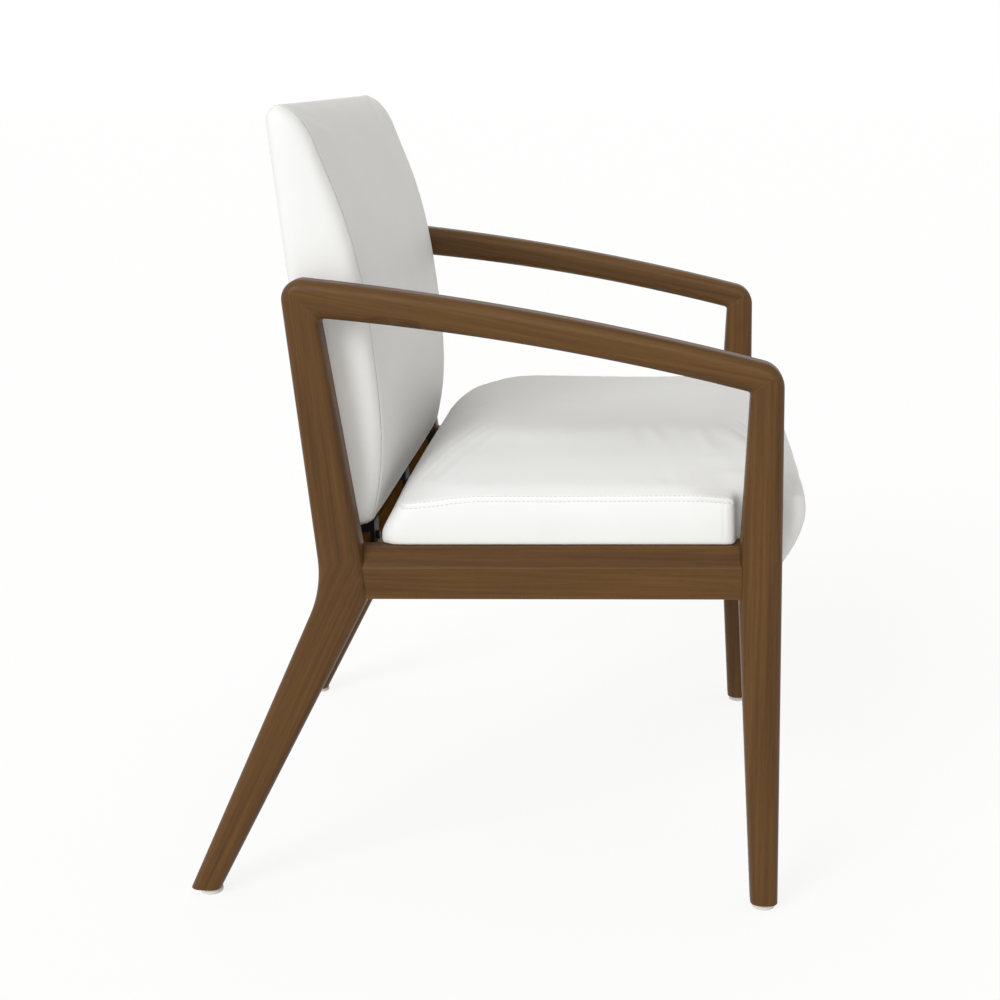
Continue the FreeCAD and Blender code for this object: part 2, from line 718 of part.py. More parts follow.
# Back fixings: bolts from inside the back's stiles, through spacers, into inserts in the uprights
BACK_BOLT_Y = "-back_bolt_depth"
STILE_INNER = "(stile_outer_x - stile_width)"
SPACER_LENGTH = f"({INNER_FACE} - stile_outer_x)"
back_insert_bores = []
back_inserts = []
back_bolts = []
back_bolt_bores = []
spacers = []
spacer_bores = []
for level in ("low", "high"):
    height = f"back_bolt_{level}"
    insert_x = f"-{INNER_FACE} - back_insert_length"
    bore_radius = "back_bolt_diameter / 2 + bolt_clearance"
    back_insert_bores.append(rod(
        f"back_insert_bore_{level}", BACK, "back_insert_diameter / 2 + dowel_clearance", "back_insert_length",
        insert_x, BACK_BOLT_Y, height, along="X",
    ))
    sleeve = rod(
        f"back_insert_sleeve_{level}", BACK, "back_insert_diameter / 2", "back_insert_length",
        insert_x, BACK_BOLT_Y, height, along="X",
    )
    sleeve_bore = rod(
        f"back_insert_thread_{level}", BACK, bore_radius, "back_insert_length",
        insert_x, BACK_BOLT_Y, height, along="X",
    )
    back_inserts.append(cut(f"back_insert_{level}", sleeve, [sleeve_bore]))
    shank_length = f"back_insert_length + {SPACER_LENGTH} + stile_width"
    shank = rod(
        f"back_bolt_shank_{level}", BACK, "back_bolt_diameter / 2", shank_length,
        insert_x, BACK_BOLT_Y, height, along="X",
    )
    head = rod(
        f"back_bolt_head_{level}", BACK, "back_bolt_head_diameter / 2", "back_bolt_head_height",
        f"-{STILE_INNER}", BACK_BOLT_Y, height, along="X",
    )
    back_bolts.append(joined(f"back_bolt_{level}", [shank, head]))
    back_bolt_bores.append(rod(
        f"back_bolt_bore_{level}", BACK, bore_radius, shank_length, insert_x, BACK_BOLT_Y, height, along="X",
    ))
    ring = rod(
        f"spacer_ring_{level}", BACK, "spacer_diameter / 2", SPACER_LENGTH,
        f"-{INNER_FACE}", BACK_BOLT_Y, height, along="X",
    )
    ring_bore = rod(
        f"spacer_hole_{level}", BACK, bore_radius, SPACER_LENGTH,
        f"-{INNER_FACE}", BACK_BOLT_Y, height, along="X",
    )
    spacers.append(cut(f"spacer_{level}", ring, [ring_bore]))
    spacer_bores.append(rod(
        f"spacer_bore_{level}", BACK, "spacer_diameter / 2 + spacer_gap", SPACER_LENGTH,
        f"-{INNER_FACE}", BACK_BOLT_Y, height, along="X",
    ))
pair_group("back_inserts", back_inserts)
pair_group("back_bolts", back_bolts)
pair_group("back_spacers", spacers)

# Legs and arms, bored for what they hold
front_leg = cut(
    "front_leg_solid",
    front_leg_blank,
    front_joint_bores + front_cross_bores + front_mitre_bores + [insert_bores["front"]],
)
rear_leg = cut(
    "rear_leg_solid",
    rear_leg_blank,
    rear_joint_bores + rear_cross_bores + rear_mitre_bores + [insert_bores["rear"]] + back_insert_bores,
)
pair(front_leg, "front_leg")
pair(rear_leg, "rear_leg")
pair(cut("arm_rail_solid", arm_blank, front_mitre_bores + rear_mitre_bores), "arm_rail")
pair_group("arm_dowels", front_mitre_pins + rear_mitre_pins)
pair_group("side_rail_dowels", front_joint_pins + rear_joint_pins)
pair_group("cross_rail_dowels", front_cross_pins + rear_cross_pins)


# Corner blocks, each with one screw into the side rail, one into the cross rail and a seat bolt
def wood_screw(name, frame, x, y, z, along, sign, length):
    """A screw from its head's seat along +along or -along: the screw, its pilot bore and its counterbore."""
    head_start = {"X": x, "Y": y, "Z": z}
    shank_start = dict(head_start)
    if sign > 0:
        head_start[along] = f"({head_start[along]}) - screw_head_height"
        counter_start = dict(head_start)
        counter_start[along] = f"({counter_start[along]}) - screw_length"
    else:
        shank_start[along] = f"({shank_start[along]}) - ({length})"
        counter_start = dict(head_start)
    shank = rod(f"{name}_shank", frame, SCREW_RADIUS, length, *shank_start.values(), along=along)
    head = rod(
        f"{name}_head", frame, "screw_head_diameter / 2", "screw_head_height",
        *head_start.values(), along=along,
    )
    pilot = rod(
        f"{name}_pilot", frame, f"{SCREW_RADIUS} + screw_clearance", length,
        *shank_start.values(), along=along,
    )
    counterbore = rod(
        f"{name}_counterbore", frame, "screw_head_diameter / 2 + 4 * bolt_clearance",
        "screw_head_height + screw_length", *counter_start.values(), along=along,
    )
    return joined(name, [shank, head]), pilot, counterbore


BLOCK_BOTTOM = "(-block_drop - block_height)"
BLOCK_CORNER_Y = {"front": FRONT_RAIL_REAR, "rear": REAR_RAIL_FRONT}
BLOCK_SIGN = {"front": 1, "rear": -1}
BOLT_SPOTS = {
    "front": (f"-{INNER_FACE} + bolt_offset_x", f"{FRONT_RAIL_REAR} + bolt_offset_y"),
    "rear": (f"-{INNER_FACE} + bolt_offset_x", f"{REAR_RAIL_FRONT} - bolt_offset_y"),
}
block_screws = []
side_pilots = []
cross_pilots = {}
seat_bolts = []
deck_bores = []
tee_nuts = []
for end, corner_y in BLOCK_CORNER_Y.items():
    sign = BLOCK_SIGN[end]
    inward = "+" if sign > 0 else "-"
    tip_y = f"{corner_y} {inward} block_leg"
    triangle = [
        (f"-{INNER_FACE}", corner_y),
        (f"-{INNER_FACE} + block_leg", corner_y),
        (f"-{INNER_FACE}", tip_y),
    ]
    block = plate(f"{end}_block_blank", "XY", triangle, "block_height", SEAT, z=BLOCK_BOTTOM)
    side_screw, side_pilot, side_counterbore = wood_screw(
        f"{end}_side_screw", SEAT, f"-{INNER_FACE} + screw_seat", f"{corner_y} {inward} screw_offset",
        "-side_screw_drop", "X", -1, "screw_length",
    )
    cross_screw, cross_pilot, cross_counterbore = wood_screw(
        f"{end}_cross_screw", SEAT, f"-{INNER_FACE} + screw_offset", f"{corner_y} {inward} screw_seat",
        "-cross_screw_drop", "Y", -sign, "screw_length",
    )
    block_screws += [side_screw, cross_screw]
    side_pilots.append(side_pilot)
    cross_pilots[end] = [cross_pilot]

    bolt_x, bolt_y = BOLT_SPOTS[end]
    bolt_length = f"-{BLOCK_BOTTOM} + deck_thickness - tee_flange_thickness"
    bolt_shank = rod(f"{end}_seat_bolt_shank", SEAT, BOLT_RADIUS, bolt_length, bolt_x, bolt_y, BLOCK_BOTTOM)
    bolt_head = rod(
        f"{end}_seat_bolt_head", SEAT, "bolt_head_diameter / 2", "bolt_head_height",
        bolt_x, bolt_y, f"{BLOCK_BOTTOM} - bolt_head_height",
    )
    bolt_bore = rod(
        f"{end}_seat_bolt_bore", SEAT, f"{BOLT_RADIUS} + bolt_clearance", bolt_length,
        bolt_x, bolt_y, BLOCK_BOTTOM,
    )
    seat_bolts.append(joined(f"{end}_seat_bolt", [bolt_shank, bolt_head]))
    block_bores = [side_pilot, side_counterbore, cross_pilot, cross_counterbore, bolt_bore]
    pair(cut(f"{end}_block", block, block_bores), f"{end}_corner_block")

    flange = rod(
        f"{end}_tee_flange", SEAT, "tee_flange_diameter / 2", "tee_flange_thickness",
        bolt_x, bolt_y, "deck_thickness - tee_flange_thickness",
    )
    barrel = rod(f"{end}_tee_barrel", SEAT, "tee_barrel_diameter / 2", "deck_thickness", bolt_x, bolt_y)
    thread = rod(
        f"{end}_tee_thread", SEAT, f"{BOLT_RADIUS} + bolt_clearance", "deck_thickness", bolt_x, bolt_y,
    )
    tee_nuts.append(cut(f"{end}_tee_nut", joined(f"{end}_tee_blank", [flange, barrel]), [thread]))
    flange_seat = rod(
        f"{end}_tee_seat", SEAT, "tee_flange_diameter / 2 + bolt_clearance", "tee_flange_thickness",
        bolt_x, bolt_y, "deck_thickness - tee_flange_thickness",
    )
    barrel_bore = rod(
        f"{end}_tee_bore", SEAT, "tee_barrel_diameter / 2 + dowel_clearance", "deck_thickness",
        bolt_x, bolt_y,
    )
    deck_bores.append(joined(f"{end}_tee_space", [flange_seat, barrel_bore]))
pair_group("corner_block_screws", block_screws)
pair_group("seat_bolts", seat_bolts)
pair_group("seat_tee_nuts", tee_nuts)

# Side rails: a bevelled top edge runs along the outer face, and both ends are coped to the legs
rail_blank = plate(
    "side_rail_blank",
    "XZ",
    [
        (f"-{INNER_FACE} - side_rail_thickness", "-side_rail_height"),
        (f"-{INNER_FACE}", "-side_rail_height"),
        (f"-{INNER_FACE}", "0"),
        (f"-{INNER_FACE} - side_rail_thickness + side_rail_bevel_run", "0"),
        (f"-{INNER_FACE} - side_rail_thickness", "-side_rail_bevel_drop"),
    ],
    f"{SIDE_RAIL_REAR} - {SIDE_RAIL_FRONT}",
    SEAT,
    y=f"({SIDE_RAIL_REAR} + {SIDE_RAIL_FRONT}) / 2",
    centred=True,
)
outer_x = number(f"-{INNER_FACE} - side_rail_thickness")
long_edges = []
for index, edge in enumerate(rail_blank.Tip.Shape.Edges, start=1):
    on_outer_face = all(abs(v.Point.x - outer_x) < SAME_PLACE for v in edge.Vertexes)
    runs_back = abs(edge.Vertexes[0].Point.y - edge.Vertexes[-1].Point.y) > SAME_PLACE
    if on_outer_face and runs_back:
        long_edges.append(f"Edge{index}")
rounded(rail_blank, "side_rail_rounding", long_edges, "side_rail_round")
side_rail = cut(
    "side_rail_solid",
    cut("side_rail_coped", rail_blank, [front_leg_blank, rear_leg_blank]),
    front_joint_bores + rear_joint_bores + side_pilots,
)
pair(side_rail, "side_rail")

# Brackets in the clean-out gap, and the long bolts that pass up through the rear rail into the back
BACK_FOOT_Y = "(back_y * cos(seat_rake) - (back_z - seat_plane_z) * sin(seat_rake))"
BACK_FOOT_Z = "(back_y * sin(seat_rake) + (back_z - seat_plane_z) * cos(seat_rake))"


def under_back(y):
    """Height of the back's lower face above the seat plane at a local y."""
    return f"{BACK_FOOT_Z} + ({BACK_FOOT_Y} - ({y})) * tan(back_lean - seat_rake)"


BRACKET_FRONT = f"({REAR_RAIL_FRONT} - bracket_thickness)"
BRACKET_REAR = f"({REAR_RAIL_FRONT} + bracket_reach)"
BASE_BOLT_Y = "(rear_rail_y + base_bolt_shift)"
BASE_BOLT_LENGTH = f"(cross_rail_height + {under_back(BASE_BOLT_Y)} + base_bolt_grip)"
BRACKET_X = {"right": "-bracket_x", "centre": "0", "left": "bracket_x"}
bracket_screws = []
bracket_pilots = []
base_bolts = []
base_bores = []
for place_name, bracket_x in BRACKET_X.items():
    blank = plate(
        f"{place_name}_bracket_blank",
        "YZ",
        [
            (BRACKET_FRONT, "-bracket_drop"),
            (BRACKET_FRONT, under_back(BRACKET_FRONT)),
            (BRACKET_REAR, under_back(BRACKET_REAR)),
            (BRACKET_REAR, "0"),
            (REAR_RAIL_FRONT, "0"),
            (REAR_RAIL_FRONT, "-bracket_drop"),
        ],
        "bracket_width",
        SEAT,
        x=bracket_x,
        centred=True,
    )
    screw, pilot, _ = wood_screw(
        f"{place_name}_bracket_screw", SEAT, bracket_x, BRACKET_FRONT, "-bracket_screw_drop", "Y", 1,
        "bracket_screw_length",
    )
    bolt_shank = rod(
        f"{place_name}_base_bolt_shank", SEAT, BOLT_RADIUS, BASE_BOLT_LENGTH,
        bracket_x, BASE_BOLT_Y, "-cross_rail_height",
    )
    bolt_head = rod(
        f"{place_name}_base_bolt_head", SEAT, "bolt_head_diameter / 2", "bolt_head_height",
        bracket_x, BASE_BOLT_Y, "-cross_rail_height - bolt_head_height",
    )
    bore = rod(
        f"{place_name}_base_bolt_bore", SEAT, f"{BOLT_RADIUS} + bolt_clearance", BASE_BOLT_LENGTH,
        bracket_x, BASE_BOLT_Y, "-cross_rail_height",
    )
    bracket_screws.append(screw)
    bracket_pilots.append(pilot)
    base_bolts.append(joined(f"{place_name}_base_bolt", [bolt_shank, bolt_head]))
    base_bores.append(bore)
    node(cut(f"{place_name}_bracket", blank, [pilot, bore]), f"{place_name}_back_bracket")
node(group("bracket_screw_set", bracket_screws), "bracket_screws")
node(group("base_bolt_set", base_bolts), "back_base_bolts")

# Cross rails
cross_x = (f"-{INNER_FACE}", INNER_FACE)
cross_z = ("-cross_rail_height", "0")
front_rail_blank = box("front_rail_blank", SEAT, cross_x, (FRONT_RAIL_FRONT, FRONT_RAIL_REAR), cross_z)
rear_rail_blank = box("rear_rail_blank", SEAT, cross_x, (REAR_RAIL_FRONT, REAR_RAIL_REAR), cross_z)


def with_mirror(items):
    """Right-hand tools and their mirror images."""
    return items + [mirrored(f"{item.Name}_mirrored", item) for item in items]


front_rail_tools = with_mirror(front_cross_bores + cross_pilots["front"])
node(cut("front_rail_solid", front_rail_blank, front_rail_tools), "front_rail")
rear_rail_tools = with_mirror(rear_cross_bores + cross_pilots["rear"]) + bracket_pilots + base_bores
node(cut("rear_rail_solid", rear_rail_blank, rear_rail_tools), "rear_rail")

# Seat deck and nose board
DECK_NOTCH_HALF = "(notch_half_width - cover_thickness - 2 * foam_gap)"
DECK_NOTCH_Y = "(notch_y + cover_thickness + 2 * foam_gap)"
deck_blank = plate(
    "deck_blank",
    "XY",
    [
        (f"-{DECK_NOTCH_HALF}", "lip_rear_y"),
        (DECK_NOTCH_HALF, "lip_rear_y"),
        (DECK_NOTCH_HALF, DECK_NOTCH_Y),
        ("deck_half_width", DECK_NOTCH_Y),
        ("deck_half_width", "deck_rear_y"),
        ("-deck_half_width", "deck_rear_y"),
        ("-deck_half_width", DECK_NOTCH_Y),
        (f"-{DECK_NOTCH_HALF}", DECK_NOTCH_Y),
    ],
    "deck_thickness",
    SEAT,
)
board_x = ("-nose_board_half_width", "nose_board_half_width")
board_blank = box(
    "nose_board_blank", SEAT, board_x, ("lip_rear_y - nose_board_thickness", "lip_rear_y"),
    ("-nose_board_drop", "deck_thickness"),
)
nose_screws = []
nose_bores = []
for step in range(-2, 3):
    spot_x = f"{step} * nose_screw_pitch"
    seat_y = "lip_rear_y - nose_board_thickness + screw_head_height"
    label = f"nose_screw_{step + 2}"
    screw, pilot, counterbore = wood_screw(
        label, SEAT, spot_x, seat_y, "deck_thickness / 2", "Y", 1, "screw_length",
    )
    nose_screws.append(screw)
    nose_bores.append(joined(f"{label}_space", [pilot, counterbore]))
node(group("nose_screw_set", nose_screws), "nose_screws")
node(cut("nose_board_solid", board_blank, nose_bores), "seat_nose_board")
node(cut("seat_deck_solid", deck_blank, with_mirror(deck_bores) + nose_bores), "seat_deck")

# Dust cover under the deck, with a hole for each seat bolt
dust_half = f"({INNER_FACE} - dust_cover_margin)"
dust_front = f"({FRONT_RAIL_REAR} + dust_cover_margin)"
dust_blank = box(
    "dust_cover_blank", SEAT, (f"-{dust_half}", dust_half), (dust_front, "deck_rear_y"),
    ("-dust_cover_thickness", "0"),
)
dust_bores = [
    rod(
        f"{end}_dust_bore", SEAT, f"{BOLT_RADIUS} + dust_cover_thickness", "2 * dust_cover_thickness",
        bolt_x, bolt_y, "-2 * dust_cover_thickness",
    )
    for end, (bolt_x, bolt_y) in BOLT_SPOTS.items()
]
node(cut("dust_cover_solid", dust_blank, with_mirror(dust_bores)), "seat_dust_cover")

# Seat cushion: boxed sides, a crowned top that falls away as a sixth power, and a rolled front lip
CROWN_POWER = 6
CROWN_STEPS = (0.3, 0.58, 0.8, 0.93, 0.99)
LIP_POWER = 1.2
LIP_STEPS = (0, 0.25, 0.5, 0.75, 1)


def seat_form(inset):
    """The seat above the deck plane, drawn in all round by an inset, with its notches for the front legs."""
    half = number("seat_half_width") - inset
    front = number("seat_front_y") + inset
    rear = number("seat_rear_y") - inset
    seam = number("seat_seam_height")
    crown = number("seat_crown") - inset
    widest = number("seat_widest_height")
    tuck = number("seat_tuck")
    nose_tuck = number("seat_nose_tuck")
    draw = number("seat_draw_in")
    lean = number("seat_rear_lean")
    corner = number("seat_corner_round")
    bow = number("seat_front_bow")
    sections = [
        plan_wire(0, half - tuck, front + nose_tuck, rear, corner, 0, bow, 0),
        plan_wire(widest, half, front, rear - lean / 4, corner, -draw / 2, bow, -draw / 2),
        plan_wire(seam, half - tuck / 2, front + tuck, rear - lean, corner, -draw, bow, -draw),
    ]
    middle = (front + rear - lean) / 2
    long_half = (rear - lean - front) / 2
    for share in CROWN_STEPS:
        shrink = (1 - share) ** (1 / CROWN_POWER)
        wire = plan_wire(
            seam + crown * share, half * shrink, middle - long_half * shrink, middle + long_half * shrink,
            corner * (1 + 2 * share), 0, bow, 0,
        )
        sections.append(wire)
    form = Part.makeLoft(sections, True, True)
    notch = number("notch_half_width") - inset
    notch_rear = number("notch_y") + inset
    depth = notch_rear - front + CUT_REACH
    width = half - notch + CUT_REACH
    height = seam + crown + 2 * CUT_REACH
    for corner_x in (notch, -notch - width):
        form = form.cut(Part.makeBox(width, depth, height, Vector(corner_x, notch_rear - depth, -CUT_REACH)))
    return form


def lip_form(inset):
    """The rolled lip in front of the front rail, below the deck plane."""
    half = number("notch_half_width") - inset
    front = number("seat_front_y") + number("seat_nose_tuck") + number("lip_step") + inset
    rear = number("lip_rear_y")
    drop = number("lip_drop") - inset
    draw = number("lip_draw_in")
    bow = number("seat_front_bow")
    tuck = number("seat_tuck")
    sections = []
    for share in LIP_STEPS:
        front_here = front + draw * share ** LIP_POWER
        corner = min(tuck, (rear - front_here) / 3)
        sections.append(plan_wire(-drop * share, half - tuck * share, front_here, rear, corner, 0, bow, 0))
    return Part.makeLoft(sections, True, True)


cover = number("cover_thickness")
foam_inset = cover + number("foam_gap")
seat_skin = seat_form(0).fuse(lip_form(0)).cut(seat_form(cover)).cut(lip_form(cover))
node(feature("seat_cover_solid", seat_skin, SEAT), "seat_cover")
seat_pad = feature("seat_pad", seat_form(foam_inset), SEAT)
node(cut("seat_foam_solid", seat_pad, [deck_blank, board_blank]), "seat_foam")
lip_pad = feature("lip_pad", lip_form(foam_inset), SEAT)
node(cut("seat_nose_foam_solid", lip_pad, [board_blank]), "seat_nose_foam")

# Back frame: two stiles between two rails, webbing straps across the front, a thin panel behind
stile_blank = box(
    "stile_blank", BACK, ("-stile_outer_x", f"-{STILE_INNER}"), (STILE_FRONT, STILE_REAR),
    ("back_frame_bottom + back_rail_height", "back_frame_top"),
)
pair(cut("back_stile_solid", stile_blank, back_bolt_bores), "back_stile")
back_rail_x = (f"-{STILE_INNER}", STILE_INNER)
bottom_rail_blank = box(
    "back_bottom_rail_blank", BACK, ("-stile_outer_x", "stile_outer_x"),
    (f"{STILE_REAR} - back_bottom_rail_depth", STILE_REAR),
    ("back_frame_bottom", "back_frame_bottom + back_rail_height"),
)
top_rail = box(
    "back_top_rail_solid", BACK, back_rail_x, (STILE_FRONT, STILE_REAR),
    ("back_frame_top - back_rail_height", "back_frame_top"),
)
node(top_rail, "back_top_rail")
node(
    box(
        "back_panel_solid", BACK, ("-stile_outer_x", "stile_outer_x"), (STILE_REAR, "-back_panel_gap"),
        ("back_frame_bottom", "back_frame_top"),
    ),
    "back_panel",
)
straps = []
for step in range(4):
    strap_low = f"strap_first_height + {step} * strap_pitch - strap_width / 2"
    straps.append(box(
        f"strap_{step}", BACK, (f"-{STILE_INNER} - strap_overlap", f"{STILE_INNER} + strap_overlap"),
        (STRAP_FRONT, STILE_FRONT), (strap_low, f"{strap_low} + strap_width"),
    ))
node(group("strap_set", straps), "back_webbing")
node(cut("back_bottom_rail_solid", bottom_rail_blank, base_bores), "back_bottom_rail")


# Back cushion: straight between its sections, deepest in the middle, with a round lower edge and top
BACK_STATIONS = (
    ("back_lumbar_height", "back_depth_lumbar"),
    ("back_middle_bottom", "back_depth_middle"),
    ("(back_middle_bottom + back_middle_top) / 2", "back_depth_centre"),
    ("back_middle_top", "back_depth_upper"),
    ("back_shoulder_height", "back_depth_shoulder"),
)
ROUND_STEPS = (0, 30, 60, 80)


def round_edge(radius, angle):
    """How far a rounded edge has risen, and how far it has drawn in, at an angle in degrees."""
    turn = math.radians(angle)
    return radius * math.sin(turn), radius * (1 - math.cos(turn))


def back_form(inset):
    """The back, drawn in all round by an inset."""
    half = number("back_half_width") - inset
    low_round = number("back_low_round")
    top_round = number("back_top_round")
    draw = number("back_draw_in")
    low = low_round + inset
    high = number("back_height") - top_round - inset
    stations = []
    for angle in reversed(ROUND_STEPS):
        rise, drawn = round_edge(low_round, angle)
        stations.append((low - rise, "back_depth_low", drawn, "back_end_crown"))
    stations += [(number(height), depth, 0, "back_crown") for height, depth in BACK_STATIONS]
    for angle in ROUND_STEPS:
        rise, drawn = round_edge(top_round, angle)
        stations.append((high + rise, "back_depth_top", drawn, "back_end_crown"))
    sections = []
    for z, depth, drawn, crown in stations:
        front = -number(depth) + inset + drawn
        rear = -inset - drawn
        corner = min(number("back_corner_round"), (rear - front) / 3)
        sections.append(plan_wire(z, half - drawn, front, rear, corner, -draw, number(crown), 0))
    return Part.makeLoft(sections, True, True)


back_skin = feature("back_skin", back_form(0).cut(back_form(cover)), BACK)
both_spacer_bores = with_mirror(spacer_bores)
node(cut("back_cover_solid", back_skin, both_spacer_bores + base_bores), "back_cover")
back_pad = feature("back_pad", back_form(foam_inset), BACK)
frame_space = box(
    "back_frame_space", BACK, ("-stile_outer_x", "stile_outer_x"), (STRAP_FRONT, "back_depth_middle"),
    ("back_frame_bottom", "back_frame_top"),
)
foam_space = joined("back_foam_space", [frame_space, bottom_rail_blank])
node(cut("back_foam_solid", back_pad, [foam_space] + both_spacer_bores + base_bores), "back_foam")

# Every item has to have come out whole before anything is written
doc.recompute()
for item in doc.Objects:
    if "Invalid" in item.State or "Error" in item.State:
        raise RuntimeError(f"{item.Label} failed: {item.State}")
for item in nodes:
    if item.Shape.isNull() or not item.Shape.isValid():
        raise RuntimeError(f"{item.Label} has no valid shape")

os.makedirs("parts", exist_ok=True)
for item in nodes:
    item.Shape.exportStep(f"parts/{item.Label}.step")
    print(f"{item.Label}: {len(item.Shape.Solids)} solids, {item.Shape.Volume / 1000:.1f} cm3")
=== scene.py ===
"""Looks of the healthcare armchair: walnut frame, white seat and back, black brackets, nylon glides."""

import math

import bmesh
import bpy
import numpy as np
from mathutils import Matrix, Vector, noise
from mathutils.bvhtree import BVHTree
from mathutils.kdtree import KDTree


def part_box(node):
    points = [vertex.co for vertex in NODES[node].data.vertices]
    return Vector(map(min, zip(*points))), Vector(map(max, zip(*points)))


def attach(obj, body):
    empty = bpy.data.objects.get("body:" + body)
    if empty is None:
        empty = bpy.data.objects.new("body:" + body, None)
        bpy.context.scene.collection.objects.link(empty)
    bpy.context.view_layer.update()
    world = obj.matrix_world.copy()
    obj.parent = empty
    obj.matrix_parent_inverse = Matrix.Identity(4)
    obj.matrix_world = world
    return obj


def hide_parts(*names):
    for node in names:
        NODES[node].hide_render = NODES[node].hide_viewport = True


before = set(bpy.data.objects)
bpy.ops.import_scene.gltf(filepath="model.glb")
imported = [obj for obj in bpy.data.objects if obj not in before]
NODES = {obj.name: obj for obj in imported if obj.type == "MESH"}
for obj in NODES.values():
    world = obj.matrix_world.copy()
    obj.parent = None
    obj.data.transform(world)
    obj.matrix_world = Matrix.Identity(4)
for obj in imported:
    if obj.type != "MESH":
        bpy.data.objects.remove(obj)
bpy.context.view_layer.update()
BODY = "chair"
MM = 0.001
QUARTER = math.pi / 2
NO_OFFSET = (0.0, 0.0, 0.0)
WHITE = (1.0, 1.0, 1.0, 1.0)

# Seat cushion in millimetres, in the raked frame of its deck: y runs rearward and z up
SEAT_ORIGIN = (0.0, 0.0, 387.6)
SEAT_RAKE = math.radians(1.0)
SEAT_HALF = 290.0
SEAT_FRONT = -321.0
SEAT_REAR = 114.5
SEAT_UNDERSIDE = -7.0
SEAT_HEM = 0.4
SEAT_HEM_START = 2.0
SEAT_SEAM = 50.0
SEAT_CROWN = 40.0
SEAT_REAR_LEAN = 21.5
SEAT_REAR_WIDEST = 10.0
SEAT_REAR_TUCK = 4.0
SEAT_REAR_ROUND = 15.0
SEAT_ROUND_START = 90.0
SEAT_ROUND_END = 20.0
SEAT_REAR_DROP = 7.0
SEAT_DROP_START = 10.0
SEAT_DROP_END = 85.0
SEAT_DROP_ACROSS = 0.5
SEAT_SIDE_DRAW = 3.5
SEAT_SIDE_TUCK = 3.0
SEAT_SIDE_ACROSS = 0.75
REAR_SEAM = SEAT_REAR - SEAT_REAR_LEAN
CROWN_POWER = 6.0
NOSE_POWER = 9.0
REAR_POWER = 7.5
REAR_LEAN_POWER = 1.1
NOTCH_HALF = 266.0
NOTCH_Y = -249.5
NOTCH_FALL = 12.0
NOTCH_FALL_REACH = 58.0
NOTCH_FALL_SIDE = 40.0
NOSE_BOW = 5.0
NOSE_END_ROUND = 14.0
NOSE_WIDEST = 30.0
NOSE_TUCK = 6.5
NOSE_SEAM_BACK = 3.0
NOSE_FALL_REACH = 30.0
LIP_REAR = -285.2
LIP_BOTTOM = -42.0
LIP_DRAW = 24.5
LIP_POWER = 1.2
LIP_LEAST = 1.0

# Where the seat's skin is held while it is filled, in millimetres
SEAT_HELD_LOW = (2.0, 22.0)
SEAT_HELD_SEAM = 14.0
SEAT_HELD_LEAST = 0.15
SEAT_HELD_SIDE = 40.0
SEAT_HELD_NOTCH = (4.0, 22.0)
SEAT_HELD_AHEAD = 40.0
NOSE_FREE_HEIGHT = (-36.0, 0.0)
NOSE_FREE_DEPTH = (-290.0, -305.0)
NOSE_FREE_SHARE = 0.7

# Back cushion in millimetres, in its leaning frame: y is 0 on the rear face, z runs up the back
BACK_ORIGIN = (0.0, 178.8, 391.0)
BACK_LEAN = math.radians(6.16)
BACK_HALF = 264.0
BACK_HEIGHT = 435.0
BACK_CROWN = 7.0
BACK_CROWN_POWER = 4
BACK_CROWN_FRONT = (0.25, 0.9)
BACK_CROWN_LOW = 70.0
BACK_CROWN_HIGH = 330.0
BACK_CROWN_LEAST = 0.35
BACK_EDGE_ROUND = 15.0
BACK_SEAM_INSIDE = 15.0
REAR_SEAM_INSIDE = 13.0
REAR_SEAM_ROUND = 10.0
BACK_TOP_REAR_ROUND = 11.0
BACK_LOW_ROUND = 9.0
BACK_FULLEST = 77.0
BACK_DEPTHS = (
    (0.0, 52.5),
    (22.0, 59.5),
    (60.0, 69.2),
    (110.0, 75.5),
    (165.0, BACK_FULLEST),
    (220.0, 76.5),
    (275.0, 72.5),
    (320.0, 65.0),
    (365.0, 54.5),
    (400.0, 45.5),
    (418.0, 38.5),
    (428.0, 31.5),
    (434.0, 24.0),
    (437.0, 15.0),
)
BACK_CAP_POINTS = 4
BACK_EVEN_TOP = 400.0
BACK_CAP_START = 404.0
BACK_FIT_TOP = 385.0
BACK_FIT_DEGREE = 6
BACK_REAR_START = 4.0

# Where the back's skin is held while it is filled
BACK_HELD_FRONT = (0.35, 0.75)
BACK_HELD_DEPTH = 74.0
BACK_HELD_EDGE = 11.0
BACK_HELD_SEAM = 18.0
BACK_HELD_LEAST = 0.1
BACK_HELD_REAR = (6.0, 26.0)
BACK_HELD_LOW = (0.0, 40.0)

# How finely the rough forms are stepped
UNDERSIDE_STEPS = 40
LIP_REAR_STEPS = 10
LIP_STEPS = 12
NOSE_STEPS = 8
NOSE_TOP_STEPS = 5
NOSE_ACROSS = 60
WING_ACROSS = 90
CROWN_STEPS = 90
NOTCH_STEPS = 14
REAR_POINTS = 15
ROUND_STEPS = 6
EDGE_STEPS = 8
BACK_EVEN_POINTS = 70
BACK_CAP_STEPS = 14
BACK_REAR_STEPS = 80
BACK_FOOT_STEPS = 8
BACK_ACROSS = 60

# How the cushions are made up
VOXEL = 5.0
SMOOTH_ROUNDS = 6
SMOOTH_FACTOR = 0.5
CLOTH_FRAMES = 20
CLOTH_QUALITY = 4
CLOTH_PRESSURE = 4.0
FILL_CAP = 4.0 * MM
LEAST_CAP = 1e-6
LEAST_MOVE = 1e-9
LEAST_CREASE = 0.01

# Grooves of the seams, and the swell beside them
SEAM_REACH = 9.0 * MM
SWELL_REACH = 3
SWELL_SHARE = 0.35
SWELL_AWAY = 3.0
SWELL_WIDTH = 1.6


